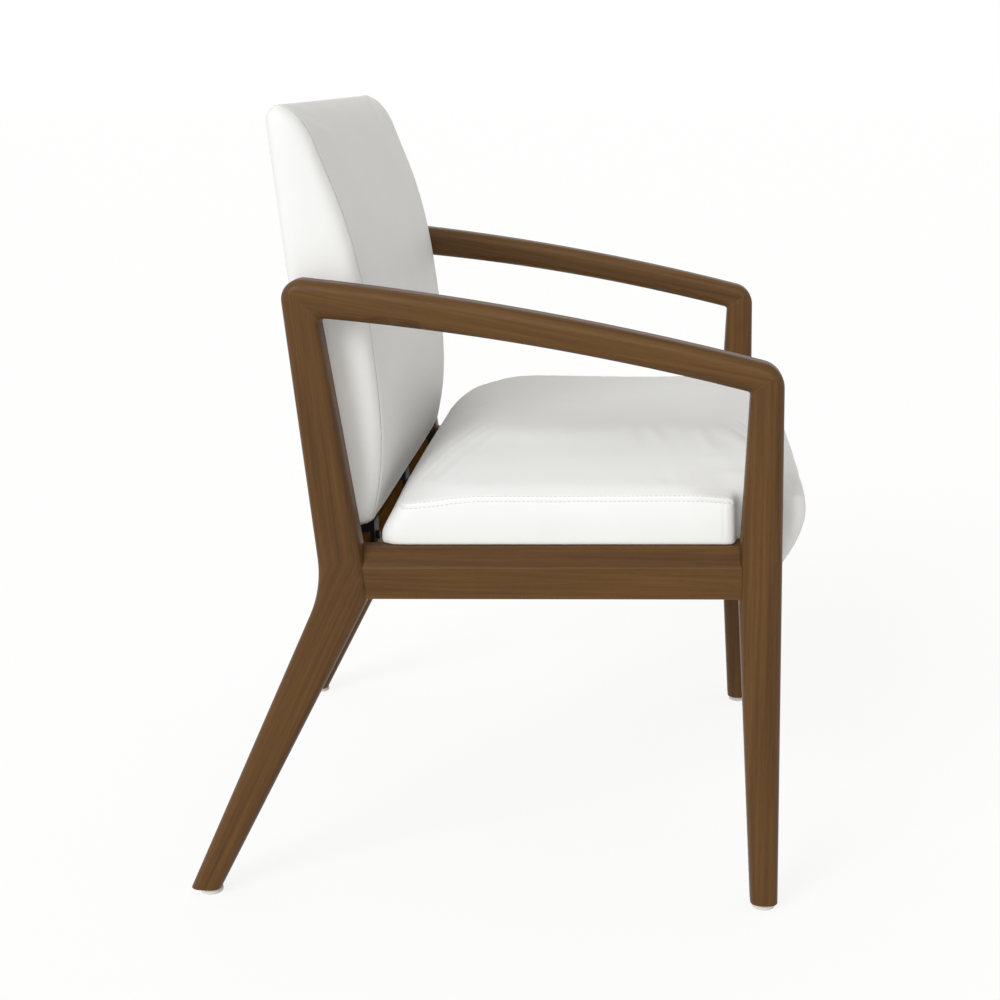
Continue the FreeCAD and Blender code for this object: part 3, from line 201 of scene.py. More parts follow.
def placed(points, origin, lean):
    """Points of a leaning frame in millimetres, as points of the shared frame in metres."""
    points = np.asarray(points, float)
    x = points[:, 0]
    y = points[:, 1] * math.cos(lean) + points[:, 2] * math.sin(lean)
    z = points[:, 2] * math.cos(lean) - points[:, 1] * math.sin(lean)
    return (np.stack([x, y, z], 1) + np.array(origin)) * MM


def localised(points, origin, lean):
    """The way back from the shared frame in metres to a leaning frame in millimetres."""
    points = np.asarray(points, float) / MM - np.array(origin)
    y = points[:, 1] * math.cos(lean) - points[:, 2] * math.sin(lean)
    z = points[:, 2] * math.cos(lean) + points[:, 1] * math.sin(lean)
    return np.stack([points[:, 0], y, z], 1)


def smoothstep(low, high, values):
    """A smooth rise from 0 at low to 1 at high."""
    share = np.clip((np.asarray(values, float) - low) / (high - low), 0.0, 1.0)
    return share * share * (3.0 - 2.0 * share)


def eased(start, end, step, steps):
    """A place between start and end, in steps that close up towards both ends."""
    return start + (end - start) * (0.5 - 0.5 * math.cos(math.pi * step / steps))


def line(start, end, steps):
    """Points from start towards end, without the end itself."""
    start = np.array(start, float)
    end = np.array(end, float)
    return [tuple(start + (end - start) * i / steps) for i in range(steps)]


def new_object(name, mesh):
    """An object in the scene for a mesh."""
    made = bpy.data.objects.new(name, mesh)
    bpy.context.scene.collection.objects.link(made)
    return made


def new_mesh(name, bm):
    """A mesh from a bmesh, which is freed."""
    mesh = bpy.data.meshes.new(name)
    bm.to_mesh(mesh)
    bm.free()
    return mesh


def shade_smooth(mesh):
    """Shade all faces of a mesh smoothly."""
    for face in mesh.polygons:
        face.use_smooth = True


def vectors(items, key):
    """One vector of each item, as an array."""
    flat = np.zeros(len(items) * 3)
    items.foreach_get(key, flat)
    return flat.reshape(-1, 3)


def mesh_points(mesh):
    """All points of a mesh."""
    return vectors(mesh.vertices, "co")


def set_points(mesh, points):
    """Write an array of points back to a mesh."""
    mesh.vertices.foreach_set("co", np.asarray(points, float).ravel())
    mesh.update()


def mesh_normals(mesh):
    """The point normals of a mesh."""
    return vectors(mesh.vertex_normals, "vector")


def loft(bm, loops):
    """A closed skin through loops of equal length, with both ends filled."""
    rings = [[bm.verts.new(point) for point in loop] for loop in loops]
    count = len(rings[0])
    for first, second in zip(rings, rings[1:]):
        for i in range(count):
            j = (i + 1) % count
            bm.faces.new((first[i], first[j], second[j], second[i]))
    bm.faces.new(list(reversed(rings[0])))
    bm.faces.new(rings[-1])


def seat_top(x, y):
    """Height of the seat's crown over the deck."""
    middle = (SEAT_FRONT + REAR_SEAM) / 2
    reach = (REAR_SEAM - SEAT_FRONT) / 2
    along = (y - middle) / reach
    power = NOSE_POWER if along < 0 else REAR_POWER
    across = min(abs(x) / SEAT_HALF, 1.0)
    return SEAT_SEAM + SEAT_CROWN * (1 - across ** CROWN_POWER) * (1 - min(abs(along), 1.0) ** power)


def notch_fall(x, y):
    """How far the crown sinks beside a front leg's notch."""
    side = smoothstep(NOTCH_HALF - NOTCH_FALL_SIDE, NOTCH_HALF, abs(x))
    ahead = 1 - smoothstep(NOTCH_Y, NOTCH_Y + NOTCH_FALL_REACH, y)
    return float(NOTCH_FALL * side * ahead)


def rear_wall(z):
    """How far back the rear wall stands at a height. It leans in up to the seam."""
    over = max(z - SEAT_REAR_WIDEST, 0.0) / (SEAT_SEAM - SEAT_REAR_WIDEST)
    under = max(SEAT_REAR_WIDEST - z, 0.0) / (SEAT_REAR_WIDEST - SEAT_UNDERSIDE)
    return SEAT_REAR - SEAT_REAR_LEAN * over ** REAR_LEAN_POWER - SEAT_REAR_TUCK * under ** 2


def rear_points():
    """The rear wall's outline from the seam down to the underside."""
    return [(rear_wall(z), z) for z in np.linspace(SEAT_SEAM, SEAT_UNDERSIDE, REAR_POINTS)]


def rear_drop(x, y):
    """How far the seam and what is above it sink towards the rear corners."""
    back = smoothstep(SEAT_DROP_START, SEAT_DROP_END, y)
    return SEAT_REAR_DROP * back * smoothstep(SEAT_DROP_ACROSS, 1.0, np.abs(x) / SEAT_HALF)


def underside(front):
    """The seat's underside between its rear edge and a place in front."""
    rear = rear_wall(SEAT_UNDERSIDE)
    return line((rear, SEAT_UNDERSIDE), (front, SEAT_UNDERSIDE), UNDERSIDE_STEPS)[1:]


def nose_loop(x):
    """The seat's outline fore and aft at a place across it, with the rolled nose."""
    past = max(abs(x) - (NOTCH_HALF - NOSE_END_ROUND), 0.0)
    drawn = NOSE_END_ROUND - math.sqrt(max(NOSE_END_ROUND ** 2 - past ** 2, 0.0))
    bow = NOSE_BOW * (1 - (x / NOTCH_HALF) ** 2)
    front = SEAT_FRONT - bow + drawn
    seam_y = front + NOSE_SEAM_BACK
    lip_bottom = LIP_BOTTOM + drawn
    loop = underside(LIP_REAR)
    loop += line((LIP_REAR, SEAT_UNDERSIDE), (LIP_REAR, lip_bottom), LIP_REAR_STEPS)
    for i in range(LIP_STEPS + 1):
        share = 1 - i / LIP_STEPS
        y = front + NOSE_TUCK + LIP_DRAW * share ** LIP_POWER
        loop.append((min(y, LIP_REAR - LIP_LEAST), lip_bottom * share))
    for i in range(1, NOSE_STEPS + 1):
        share = i / NOSE_STEPS
        loop.append((front + NOSE_TUCK * (1 - share) ** 2, NOSE_WIDEST * share))
    for i in range(1, NOSE_TOP_STEPS):
        share = i / NOSE_TOP_STEPS
        z = NOSE_WIDEST + (SEAT_SEAM - NOSE_WIDEST) * share
        loop.append((front + NOSE_SEAM_BACK * share ** 2, z))
    for i in range(CROWN_STEPS):
        y = eased(seam_y, REAR_SEAM, i, CROWN_STEPS)
        end_fall = drawn * (1 - smoothstep(NOTCH_Y - NOSE_FALL_REACH, NOTCH_Y, y))
        loop.append((y, seat_top(x, max(y, SEAT_FRONT)) - max(end_fall, notch_fall(x, y))))
    loop += rear_points()
    return [(x, y, z) for y, z in loop]


def wing_loop(x):
    """The seat's outline fore and aft beside the front legs, where it stops at the notch."""
    top_front = max(seat_top(x, NOTCH_Y) - notch_fall(x, NOTCH_Y), SEAT_SEAM)
    loop = underside(NOTCH_Y)
    loop += line((NOTCH_Y, SEAT_UNDERSIDE), (NOTCH_Y, top_front), NOTCH_STEPS)
    for i in range(CROWN_STEPS):
        y = eased(NOTCH_Y, REAR_SEAM, i, CROWN_STEPS)
        loop.append((y, max(seat_top(x, y) - notch_fall(x, y), SEAT_SEAM)))
    loop += rear_points()
    return [(x, y, z) for y, z in loop]


def shape_seat(points):
    """Draw the seat's sides in between its corners and round its rear corners."""
    x, y, z = points.T.copy()
    middle = (NOTCH_Y + SEAT_REAR) / 2
    reach = (SEAT_REAR - NOTCH_Y) / 2
    side = smoothstep(SEAT_SIDE_ACROSS, 1.0, np.abs(x) / SEAT_HALF)
    level = smoothstep(0.0, SEAT_SEAM, z)
    inward = SEAT_SIDE_DRAW * np.clip(1 - ((y - middle) / reach) ** 2, 0, 1) * level
    inward += SEAT_SIDE_TUCK * np.clip(1 - z / NOSE_WIDEST, 0, 1) ** 2
    past = np.clip(np.abs(x) - (SEAT_HALF - SEAT_REAR_ROUND), 0, SEAT_REAR_ROUND)
    drawn = SEAT_REAR_ROUND - np.sqrt(SEAT_REAR_ROUND ** 2 - past ** 2)
    y -= drawn * smoothstep(SEAT_REAR - SEAT_ROUND_START, SEAT_REAR - SEAT_ROUND_END, y)
    x -= np.sign(x) * inward * side
    z -= rear_drop(x, y) * smoothstep(0.0, SEAT_SEAM, z)
    return np.stack([x, y, z], 1)


def hem_seat(points):
    """Lay the seat's underside flat on the deck behind the lip."""
    points = points.copy()
    behind = points[:, 1] > LIP_REAR + SEAT_HEM_START
    points[behind, 2] = np.maximum(points[behind, 2], SEAT_HEM)
    return points


def back_depth(z):
    """Depth of the back's front face over its rear face at a height up the back."""
    heights, depths = zip(*BACK_DEPTHS)
    return float(np.interp(z, heights, depths))


def back_outline():
    """The back's side outline, from its low front corner up, over the top and down the rear."""
    heights, depths = np.array(BACK_DEPTHS).T
    even = np.linspace(heights[0] + BACK_LOW_ROUND, BACK_EVEN_TOP, BACK_EVEN_POINTS)
    cap = np.linspace(BACK_CAP_START, heights[-1], BACK_CAP_STEPS)
    fitted = slice(None, -BACK_CAP_POINTS)
    smooth = np.polynomial.Polynomial.fit(heights[fitted], depths[fitted], BACK_FIT_DEGREE)
    foot = back_depth(heights[0] + BACK_LOW_ROUND) - BACK_LOW_ROUND
    turns = [QUARTER * i / ROUND_STEPS for i in range(ROUND_STEPS + 1)]
    outline = []
    for turn in turns:
        outline.append((-foot - BACK_LOW_ROUND * math.sin(turn), BACK_LOW_ROUND * (1 - math.cos(turn))))
    for z in np.concatenate([even, cap])[1:]:
        depth = smooth(z) if z < BACK_FIT_TOP else back_depth(z)
        outline.append((-depth, z))
    for turn in turns:
        y = -BACK_TOP_REAR_ROUND * (1 - math.sin(turn))
        outline.append((y, BACK_HEIGHT - BACK_TOP_REAR_ROUND * (1 - math.cos(turn))))
    rear_top = BACK_HEIGHT - BACK_TOP_REAR_ROUND - BACK_REAR_START
    outline += line((0.0, rear_top), (0.0, BACK_LOW_ROUND), BACK_REAR_STEPS)
    for turn in turns[:-1]:
        outline.append((-BACK_LOW_ROUND * (1 - math.cos(turn)), BACK_LOW_ROUND * (1 - math.sin(turn))))
    foot_front = -back_depth(BACK_LOW_ROUND) + BACK_LOW_ROUND
    outline += line((-BACK_LOW_ROUND, 0.0), (foot_front, 0.0), BACK_FOOT_STEPS)[1:]
    return np.array(outline)


def inset(outline, distance):
    """A closed outline moved inwards along its normals."""
    ahead = np.roll(outline, -1, 0)
    behind = np.roll(outline, 1, 0)
    along = ahead - behind
    along /= np.linalg.norm(along, axis=1)[:, None]
    normal = np.stack([along[:, 1], -along[:, 0]], 1)
    centre = outline.mean(0)
    if np.sum((outline - centre) * normal) < 0:
        normal = -normal
    return outline - normal * distance


def back_loops():
    """Side outlines across the back, drawn in at both ends and crowned in the middle."""
    outline = back_outline()
    edge = []
    for i in range(EDGE_STEPS + 1):
        turn = QUARTER * (1 - i / EDGE_STEPS)
        x = -BACK_HALF + BACK_EDGE_ROUND * (1 - math.sin(turn))
        edge.append((x, BACK_EDGE_ROUND * (1 - math.cos(turn))))
    flat = BACK_HALF - BACK_EDGE_ROUND
    middle = [(x, 0.0) for x in np.linspace(-flat, flat, BACK_ACROSS)[1:-1]]
    loops = []
    for x, drawn in edge + middle + [(-x, drawn) for x, drawn in reversed(edge)]:
        shape = inset(outline, drawn) if drawn else outline
        y, z = shape.T
        crown = BACK_CROWN * (1 - abs(x / BACK_HALF) ** BACK_CROWN_POWER)
        front = smoothstep(*BACK_CROWN_FRONT, -y / BACK_FULLEST)
        body = smoothstep(0, BACK_CROWN_LOW, z) * (1 - smoothstep(BACK_CROWN_HIGH, BACK_HEIGHT, z))
        y = y - crown * front * (BACK_CROWN_LEAST + (1 - BACK_CROWN_LEAST) * body)
        loops.append([(x, a, b) for a, b in zip(y, z)])
    return loops


def apply_modifiers(piece):
    """Keep what an object's modifiers make as its own mesh."""
    graph = bpy.context.evaluated_depsgraph_get()
    made = bpy.data.meshes.new_from_object(piece.evaluated_get(graph))
    piece.modifiers.clear()
    old = piece.data
    piece.data = made
    bpy.data.meshes.remove(old)


def remeshed(name, bm, shape, finish, origin, lean):
    """An even mesh over a rough closed form, smoothed and set in the shared frame."""
    bmesh.ops.recalc_face_normals(bm, faces=bm.faces)
    mesh = new_mesh(name, bm)
    if shape:
        set_points(mesh, shape(mesh_points(mesh)))
    piece = new_object(name, mesh)
    voxels = piece.modifiers.new("even", "REMESH")
    voxels.mode = "VOXEL"
    voxels.voxel_size = VOXEL
    relax = piece.modifiers.new("relax", "SMOOTH")
    relax.factor = SMOOTH_FACTOR
    relax.iterations = SMOOTH_ROUNDS
    apply_modifiers(piece)
    if finish:
        set_points(piece.data, finish(mesh_points(piece.data)))
    set_points(piece.data, placed(mesh_points(piece.data), origin, lean))
    return piece


def swell(piece, free):
    """Fill a cushion by a short cloth run with pressure. free is 0 to 1 for each point."""
    rest = mesh_points(piece.data)
    held = piece.vertex_groups.new(name="held")
    for index, share in enumerate(free):
        held.add([index], 1.0 - float(share), "REPLACE")
    cloth = piece.modifiers.new("fill", "CLOTH")
    cloth.settings.quality = CLOTH_QUALITY
    cloth.settings.use_pressure = True
    cloth.settings.uniform_pressure_force = CLOTH_PRESSURE
    cloth.settings.effector_weights.gravity = 0.0
    cloth.settings.vertex_group_mass = held.name
    cloth.point_cache.frame_end = CLOTH_FRAMES
    scene = bpy.context.scene
    for step in range(1, CLOTH_FRAMES + 1):
        scene.frame_set(step)
    graph = bpy.context.evaluated_depsgraph_get()
    filled = mesh_points(piece.evaluated_get(graph).data)
    piece.modifiers.clear()
    piece.vertex_groups.clear()
    scene.frame_set(1)
    travel = filled - rest
    length = np.linalg.norm(travel, axis=1)
    limit = np.maximum(FILL_CAP * np.asarray(free), LEAST_CAP)
    share = limit * np.tanh(length / limit) / np.maximum(length, LEAST_MOVE)
    set_points(piece.data, rest + travel * share[:, None])


def crease(piece, weight, scale, depth, shift):
    """Low soft folds: a noise of a scale per metre moves points along their normals by up to depth."""
    points = mesh_points(piece.data)
    normals = mesh_normals(piece.data)
    spread = points * np.array(scale) + shift
    for index in np.nonzero(weight > LEAST_CREASE)[0]:
        fold = noise.noise(Vector(spread[index]))
        points[index] += normals[index] * fold * depth * weight[index]
    set_points(piece.data, points)


def refine(piece):
    """One smooth subdivision, kept in the mesh."""
    finer = piece.modifiers.new("finer", "SUBSURF")
    finer.levels = 1
    finer.render_levels = 1
    apply_modifiers(piece)
    shade_smooth(piece.data)


def skin_tree(piece):
    """A search tree over a piece's skin."""
    return BVHTree.FromObject(piece, bpy.context.evaluated_depsgraph_get())


def cast_path(piece, starts, aims):
    """Points where rays meet a piece's skin."""
    tree = skin_tree(piece)
    hits = [tree.ray_cast(Vector(start), Vector(aim).normalized())[0] for start, aim in zip(starts, aims)]
    return np.array([point for point in hits if point is not None])


def on_skin(piece, path):
    """A path laid on a piece's skin, with the skin's normals."""
    tree = skin_tree(piece)
    found = [tree.find_nearest(Vector(point)) for point in path]
    return np.array([place for place, _, _, _ in found]), np.array([normal for _, normal, _, _ in found])


def beside(piece, path, offset):
    """A path on a piece's skin, set off sideways along the skin."""
    places, normals = on_skin(piece, path)
    along = np.gradient(places, axis=0)
    sideways = np.cross(normals, along)
    sideways /= np.linalg.norm(sideways, axis=1)[:, None]
    return on_skin(piece, places + sideways * offset)[0]


def resampled(path, step):
    """A path of points at even steps along its length."""
    path = np.asarray(path, float)
    runs = np.linalg.norm(np.diff(path, axis=0), axis=1)
    travelled = np.concatenate([[0.0], np.cumsum(runs)])
    wanted = np.arange(0.0, travelled[-1], step)
    return np.stack([np.interp(wanted, travelled, path[:, axis]) for axis in range(3)], 1)


def press_seam(piece, paths, depth, width):
    """Sink a narrow groove into a piece along paths, with a low swell on either side."""
    bm = bmesh.new()
    bm.from_mesh(piece.data)
    points = [point for path in paths for point in path]
    near = KDTree(len(points))
    for index, point in enumerate(points):
        near.insert(Vector(point), index)
    near.balance()
    edges = [
        edge for edge in bm.edges
        if near.find((edge.verts[0].co + edge.verts[1].co) / 2)[2] < SEAM_REACH
    ]
    bmesh.ops.subdivide_edges(bm, edges=edges, cuts=1, use_grid_fill=True, smooth=0.0)
    bm.normal_update()
    moves = []
    for vertex in bm.verts:
        away = near.find(vertex.co)[2]
        if away < SWELL_REACH * SEAM_REACH:
            sink = depth * math.exp(-((away / width) ** 2))
            beyond = (away - SWELL_AWAY * width) / (SWELL_WIDTH * width)
            puff = SWELL_SHARE * depth * math.exp(-(beyond ** 2))
            moves.append((vertex, vertex.normal * (puff - sink)))
    for vertex, move in moves:
        vertex.co += move
    bm.to_mesh(piece.data)
    bm.free()
    shade_smooth(piece.data)


# Threads: sides and rings of a mesh, and shares of the radius
STITCH_SIDES = 6
STITCH_RINGS = 5
STITCH_END = 0.35
STITCH_RISE = 0.9
STITCH_SINK = 0.25
PIPE_SIDES = 8


def ring(centre, across, up, radius, sides):
    """Points of a circle about a centre."""
    turns = [2 * math.pi * j / sides for j in range(sides)]
    return [centre + radius * (math.cos(turn) * across + math.sin(turn) * up) for turn in turns]


def thread_mesh(bm, start, end, normal, radius):
    """One stitch: a short thread that dips into the cloth at both ends."""
    along = end - start
    length = np.linalg.norm(along)
    along = along / length
    across = np.cross(along, normal)
    across /= np.linalg.norm(across)
    up = np.cross(across, along)
    loops = []
    for i in range(STITCH_RINGS):
        share = i / (STITCH_RINGS - 1)
        arch = math.sin(math.pi * share)
        thick = radius * (STITCH_END + (1 - STITCH_END) * arch ** 0.5)
        centre = start + along * length * share + up * radius * (STITCH_RISE * arch - STITCH_SINK)
        loops.append(ring(centre, across, up, thick, STITCH_SIDES))
    loft(bm, loops)


def thread_object(name, bm):
    """A smooth object from a bmesh of threads."""
    bmesh.ops.recalc_face_normals(bm, faces=bm.faces)
    mesh = new_mesh(name, bm)
    shade_smooth(mesh)
    return new_object(name, mesh)


def stitched(name, piece, paths, pitch, share, radius):
    """A row of stitches along each path, on a piece's skin."""
    tree = skin_tree(piece)
    bm = bmesh.new()
    for path in paths:
        points = resampled(path, pitch)
        for first, second in zip(points, points[1:]):
            ends = []
            for point in (first, first + (second - first) * share):
                place, normal, _, _ = tree.find_nearest(Vector(point))
                ends.append((np.array(place), np.array(normal)))
            thread_mesh(bm, ends[0][0], ends[1][0], ends[0][1] + ends[1][1], radius)
    return thread_object(name, bm)


def piped(name, piece, paths, radius, sunk):
    """A thin line of thread that lies along paths on a piece's skin."""
    bm = bmesh.new()
    for path in paths:
        places, normals = on_skin(piece, path)
        centres = places - normals * sunk
        loops = []
        for i, centre in enumerate(centres):
            ahead = centres[min(i + 1, len(centres) - 1)]
            behind = centres[max(i - 1, 0)]
            along = (ahead - behind) / np.linalg.norm(ahead - behind)
            across = np.cross(along, normals[i])
            across /= np.linalg.norm(across)
            loops.append(ring(centre, across, np.cross(across, along), radius, PIPE_SIDES))
        loft(bm, loops)
    return thread_object(name, bm)


# Materials, all worked out from the object's own coordinates
def shader(name):
    """A new material with its node tree and main shader."""
    material = bpy.data.materials.new(name)
    material.use_nodes = True
    tree = material.node_tree
    return material, tree, tree.nodes["Principled BSDF"]


def add(tree, kind, settings=None, sockets=None):
    """A node with its settings, and its sockets either set or linked."""
    made = tree.nodes.new(kind)
    for key, value in (settings or {}).items():
        setattr(made, key, value)
    for key, value in (sockets or {}).items():
        if isinstance(value, bpy.types.NodeSocket):
            tree.links.new(value, made.inputs[key])
        else:
            made.inputs[key].default_value = value
    return made


def maths(tree, operation, first, second=0.0):
    """The result of one sum on two values or sockets."""
    return add(tree, "ShaderNodeMath", {"operation": operation}, {0: first, 1: second}).outputs[0]


def scaled(tree, value, gain):
    """A value times a gain."""
    return maths(tree, "MULTIPLY", value, gain)


def raised(tree, value, gain, base):
    """A value times a gain, plus a base."""
    return maths(tree, "ADD", scaled(tree, value, gain), base)


def ramp(tree, factor, stops):
    """Colours along a ramp."""
    made = add(tree, "ShaderNodeValToRGB", None, {"Fac": factor})
    elements = made.color_ramp.elements
    while len(elements) < len(stops):
        elements.new(0.5)
    for element, (place, colour) in zip(elements, stops):
        element.position = place
        element.color = (*colour, 1.0)
    return made.outputs["Color"]


def blended(tree, factor, first, second, kind="MIX"):
    """Two colours blended by a factor."""
    sockets = {0: factor, 6: first, 7: (*second, 1.0)}
    return add(tree, "ShaderNodeMix", {"data_type": "RGBA", "blend_type": kind}, sockets).outputs[2]


def object_space(tree):
    """The object's own coordinates, which are the shared frame in metres."""
    return add(tree, "ShaderNodeTexCoord").outputs["Object"]


def stretched(tree, space, scale, turn):
    """Coordinates turned and then scaled, for grain that runs along a piece."""
    turned = add(tree, "ShaderNodeMapping", None, {"Vector": space, "Rotation": turn}).outputs[0]
    return add(tree, "ShaderNodeMapping", None, {"Vector": turned, "Scale": scale}).outputs[0]


def fractal(tree, vector, scale, detail=4.0, roughness=0.5):
    """A grey noise from 0 to 1."""
    sockets = {"Vector": vector, "Scale": scale, "Detail": detail, "Roughness": roughness}
    return add(tree, "ShaderNodeTexNoise", None, sockets).outputs[0]


def streaked(tree, space, turn, along, across, detail, roughness):
    """A grey noise drawn out along the grain."""
    return fractal(tree, stretched(tree, space, (along, across, across), turn), 1.0, detail, roughness)


def bump(tree, height, strength, distance, normal=None):
    """A bump normal from a height."""
    sockets = {"Height": height, "Strength": strength, "Distance": distance}
    if normal is not None:
        sockets["Normal"] = normal
    return add(tree, "ShaderNodeBump", None, sockets).outputs[0]


# Walnut: colours, noises, open pores, eased edges, and a painted highlight along the edges
WALNUT_STOPS = (
    (0.30, (0.053, 0.023, 0.0054)),
    (0.50, (0.099, 0.044, 0.0102)),
    (0.72, (0.147, 0.071, 0.0190)),
)
WALNUT_BANDS = {"along": 1.6, "across": 62.0, "detail": 3.0, "roughness": 0.55}
WALNUT_STREAKS = {"along": 7.0, "across": 310.0, "detail": 5.0, "roughness": 0.6}
WALNUT_PORES = {"along": 60.0, "across": 1500.0, "detail": 2.0, "roughness": 0.5}
BAND_SHARE = 0.55
PORE_LEVEL = 0.36
PORE_SHARE = 0.35
PORE_COLOUR = (0.45, 0.36, 0.30)
# A lighter walnut colour painted along the edges as a highlight, and how strongly and how far it is
# blended in
WALNUT_EDGE_HIGHLIGHT = (0.200, 0.112, 0.0430)
EASED_EDGE = 0.0010
EDGE_SAMPLES = 4
EDGE_HIGHLIGHT_GAIN = 40.0
EDGE_HIGHLIGHT_MOST = 0.35
COAT_ROUGHNESS = 0.3


def unbent(tree, space, knee, run_up, run_down):
    """Coordinates in which a leg bent at its knee is straight."""
    parts = add(tree, "ShaderNodeSeparateXYZ", None, {0: space}).outputs
    over = maths(tree, "SUBTRACT", parts[2], knee)
    above = scaled(tree, maths(tree, "MAXIMUM", over, 0.0), run_up)
    below = scaled(tree, maths(tree, "MINIMUM", over, 0.0), run_down)
    straight = maths(tree, "SUBTRACT", maths(tree, "SUBTRACT", parts[1], above), below)
    return add(tree, "ShaderNodeCombineXYZ", None, {0: parts[0], 1: straight, 2: parts[2]}).outputs[0]


def walnut(name, turn, bend=None, gloss=0.20, lacquer=0.02):
    """Stained walnut under a satin lacquer, with a lighter colour painted along its edges as a highlight.
    turn lays the grain, and bend straightens it in a bent leg.
    """
    material, tree, main = shader(name)
    space = object_space(tree)
    if bend:
        space = unbent(tree, space, *bend)
    bands = streaked(tree, space, turn, **WALNUT_BANDS)
    streaks = streaked(tree, space, turn, **WALNUT_STREAKS)
    pores = streaked(tree, space, turn, **WALNUT_PORES)
    mixed = maths(tree, "ADD", scaled(tree, bands, BAND_SHARE), scaled(tree, streaks, 1 - BAND_SHARE))
    open_pores = scaled(tree, maths(tree, "LESS_THAN", pores, PORE_LEVEL), PORE_SHARE)
    darker = blended(tree, open_pores, ramp(tree, mixed, WALNUT_STOPS), PORE_COLOUR, "MULTIPLY")
    # Painted highlight: where the bevel's rounded normal parts from the flat one, at every edge, a lighter
    # walnut colour is blended into the base colour
    rounded = add(tree, "ShaderNodeBevel", {"samples": EDGE_SAMPLES}, {"Radius": EASED_EDGE}).outputs[0]
    flat = add(tree, "ShaderNodeNewGeometry").outputs["Normal"]
    dot = add(tree, "ShaderNodeVectorMath", {"operation": "DOT_PRODUCT"}, {0: rounded, 1: flat})
    edge = scaled(tree, maths(tree, "SUBTRACT", 1.0, dot.outputs["Value"]), EDGE_HIGHLIGHT_GAIN)
    wear_and_edge_highlight = blended(tree, maths(tree, "MINIMUM", edge, EDGE_HIGHLIGHT_MOST), darker, WALNUT_EDGE_HIGHLIGHT)
    tree.links.new(wear_and_edge_highlight, main.inputs["Base Color"])
    tree.links.new(raised(tree, streaks, gain=0.18, base=0.34), main.inputs["Roughness"])
    relief = maths(tree, "ADD", pores, streaks)
    normal = bump(tree, relief, strength=0.25, distance=0.0002, normal=rounded)
    tree.links.new(normal, main.inputs["Normal"])
    main.inputs["Specular IOR Level"].default_value = gloss
    main.inputs["Coat Weight"].default_value = lacquer
    main.inputs["Coat Roughness"].default_value = COAT_ROUGHNESS
    return material


def upholstery():
    """White coated cloth with a fine pebbled grain."""
    material, tree, main = shader("white_upholstery_cloth")
    space = object_space(tree)
    pebbles = {"Vector": space, "Scale": 620.0}
    cells = add(tree, "ShaderNodeTexVoronoi", {"feature": "SMOOTH_F1"}, pebbles).outputs[0]
    fine = fractal(tree, space, scale=1400.0, detail=3.0)
    broad = fractal(tree, space, scale=14.0, detail=3.0)
    stops = ((0.3, (0.81, 0.81, 0.80)), (0.7, (0.83, 0.83, 0.82)))
    tree.links.new(ramp(tree, broad, stops), main.inputs["Base Color"])
    grain = maths(tree, "ADD", scaled(tree, cells, 0.8), scaled(tree, fine, 0.35))
    tree.links.new(bump(tree, grain, strength=0.22, distance=0.0004), main.inputs["Normal"])
    tree.links.new(raised(tree, fine, gain=0.12, base=0.46), main.inputs["Roughness"])
    main.inputs["Specular IOR Level"].default_value = 0.35
    main.inputs["Sheen Weight"].default_value = 0.04
    main.inputs["Sheen Roughness"].default_value = 0.4
    return material


def thread(name, dark, light):
    """Twisted sewing thread."""
    material, tree, main = shader(name)
    twist = fractal(tree, object_space(tree), scale=2600.0, detail=2.0)
    tree.links.new(ramp(tree, twist, ((0.3, dark), (0.7, light))), main.inputs["Base Color"])
    tree.links.new(bump(tree, twist, strength=0.4, distance=0.0003), main.inputs["Normal"])
    main.inputs["Roughness"].default_value = 0.65
    return material


def speckled(name, dark, light, scale, roughness, metallic=0.0, gloss=0.5):
    """A plain material with a fine uneven surface."""
    material, tree, main = shader(name)
    space = object_space(tree)
    grain = fractal(tree, space, scale, detail=4.0, roughness=0.6)
    # Here this is only a broad uneven tone and roughness; no highlight is painted in this material
    wear_and_edge_highlight = fractal(tree, space, scale / 24, detail=3.0)
    mixed = maths(tree, "ADD", scaled(tree, grain, gain=0.5), scaled(tree, wear_and_edge_highlight, gain=0.5))
    tree.links.new(ramp(tree, mixed, ((0.32, dark), (0.68, light))), main.inputs["Base Color"])
    tree.links.new(raised(tree, wear_and_edge_highlight, gain=0.2, base=roughness - 0.1), main.inputs["Roughness"])
    tree.links.new(bump(tree, grain, strength=0.3, distance=0.0002), main.inputs["Normal"])
    main.inputs["Metallic"].default_value = metallic
    main.inputs["Specular IOR Level"].default_value = gloss
    return material


def grained(name, dark, light, turn, across, roughness):
    """Pale wood or ply with a plain straight grain."""
    material, tree, main = shader(name)
    grain = streaked(tree, object_space(tree), turn, along=6.0, across=across, detail=4.0, roughness=0.6)
    tree.links.new(ramp(tree, grain, ((0.3, dark), (0.7, light))), main.inputs["Base Color"])
    tree.links.new(bump(tree, grain, strength=0.25, distance=0.0002), main.inputs["Normal"])
    main.inputs["Roughness"].default_value = roughness
    return material


def woven(name, dark, light, pitch, roughness):
    """A plain weave of crossing threads."""
    material, tree, main = shader(name)
    parts = add(tree, "ShaderNodeSeparateXYZ", None, {0: object_space(tree)}).outputs
    turns = 2 * math.pi / pitch
    over = maths(tree, "SINE", scaled(tree, parts[0], turns))
    under = maths(tree, "SINE", scaled(tree, maths(tree, "ADD", parts[1], parts[2]), turns))
    weave = raised(tree, maths(tree, "MULTIPLY", over, under), gain=0.5, base=0.5)
    tree.links.new(ramp(tree, weave, ((0.2, dark), (0.8, light))), main.inputs["Base Color"])
    tree.links.new(bump(tree, weave, strength=0.5, distance=pitch / 4), main.inputs["Normal"])
    main.inputs["Roughness"].default_value = roughness
    return material


def dress(material, *names):
    """Give CAD nodes a material on every slot they have."""
    for name in names:
        slots = NODES[name].material_slots
        if not slots:
            NODES[name].data.materials.append(material)
        for slot in slots:
            slot.material = material


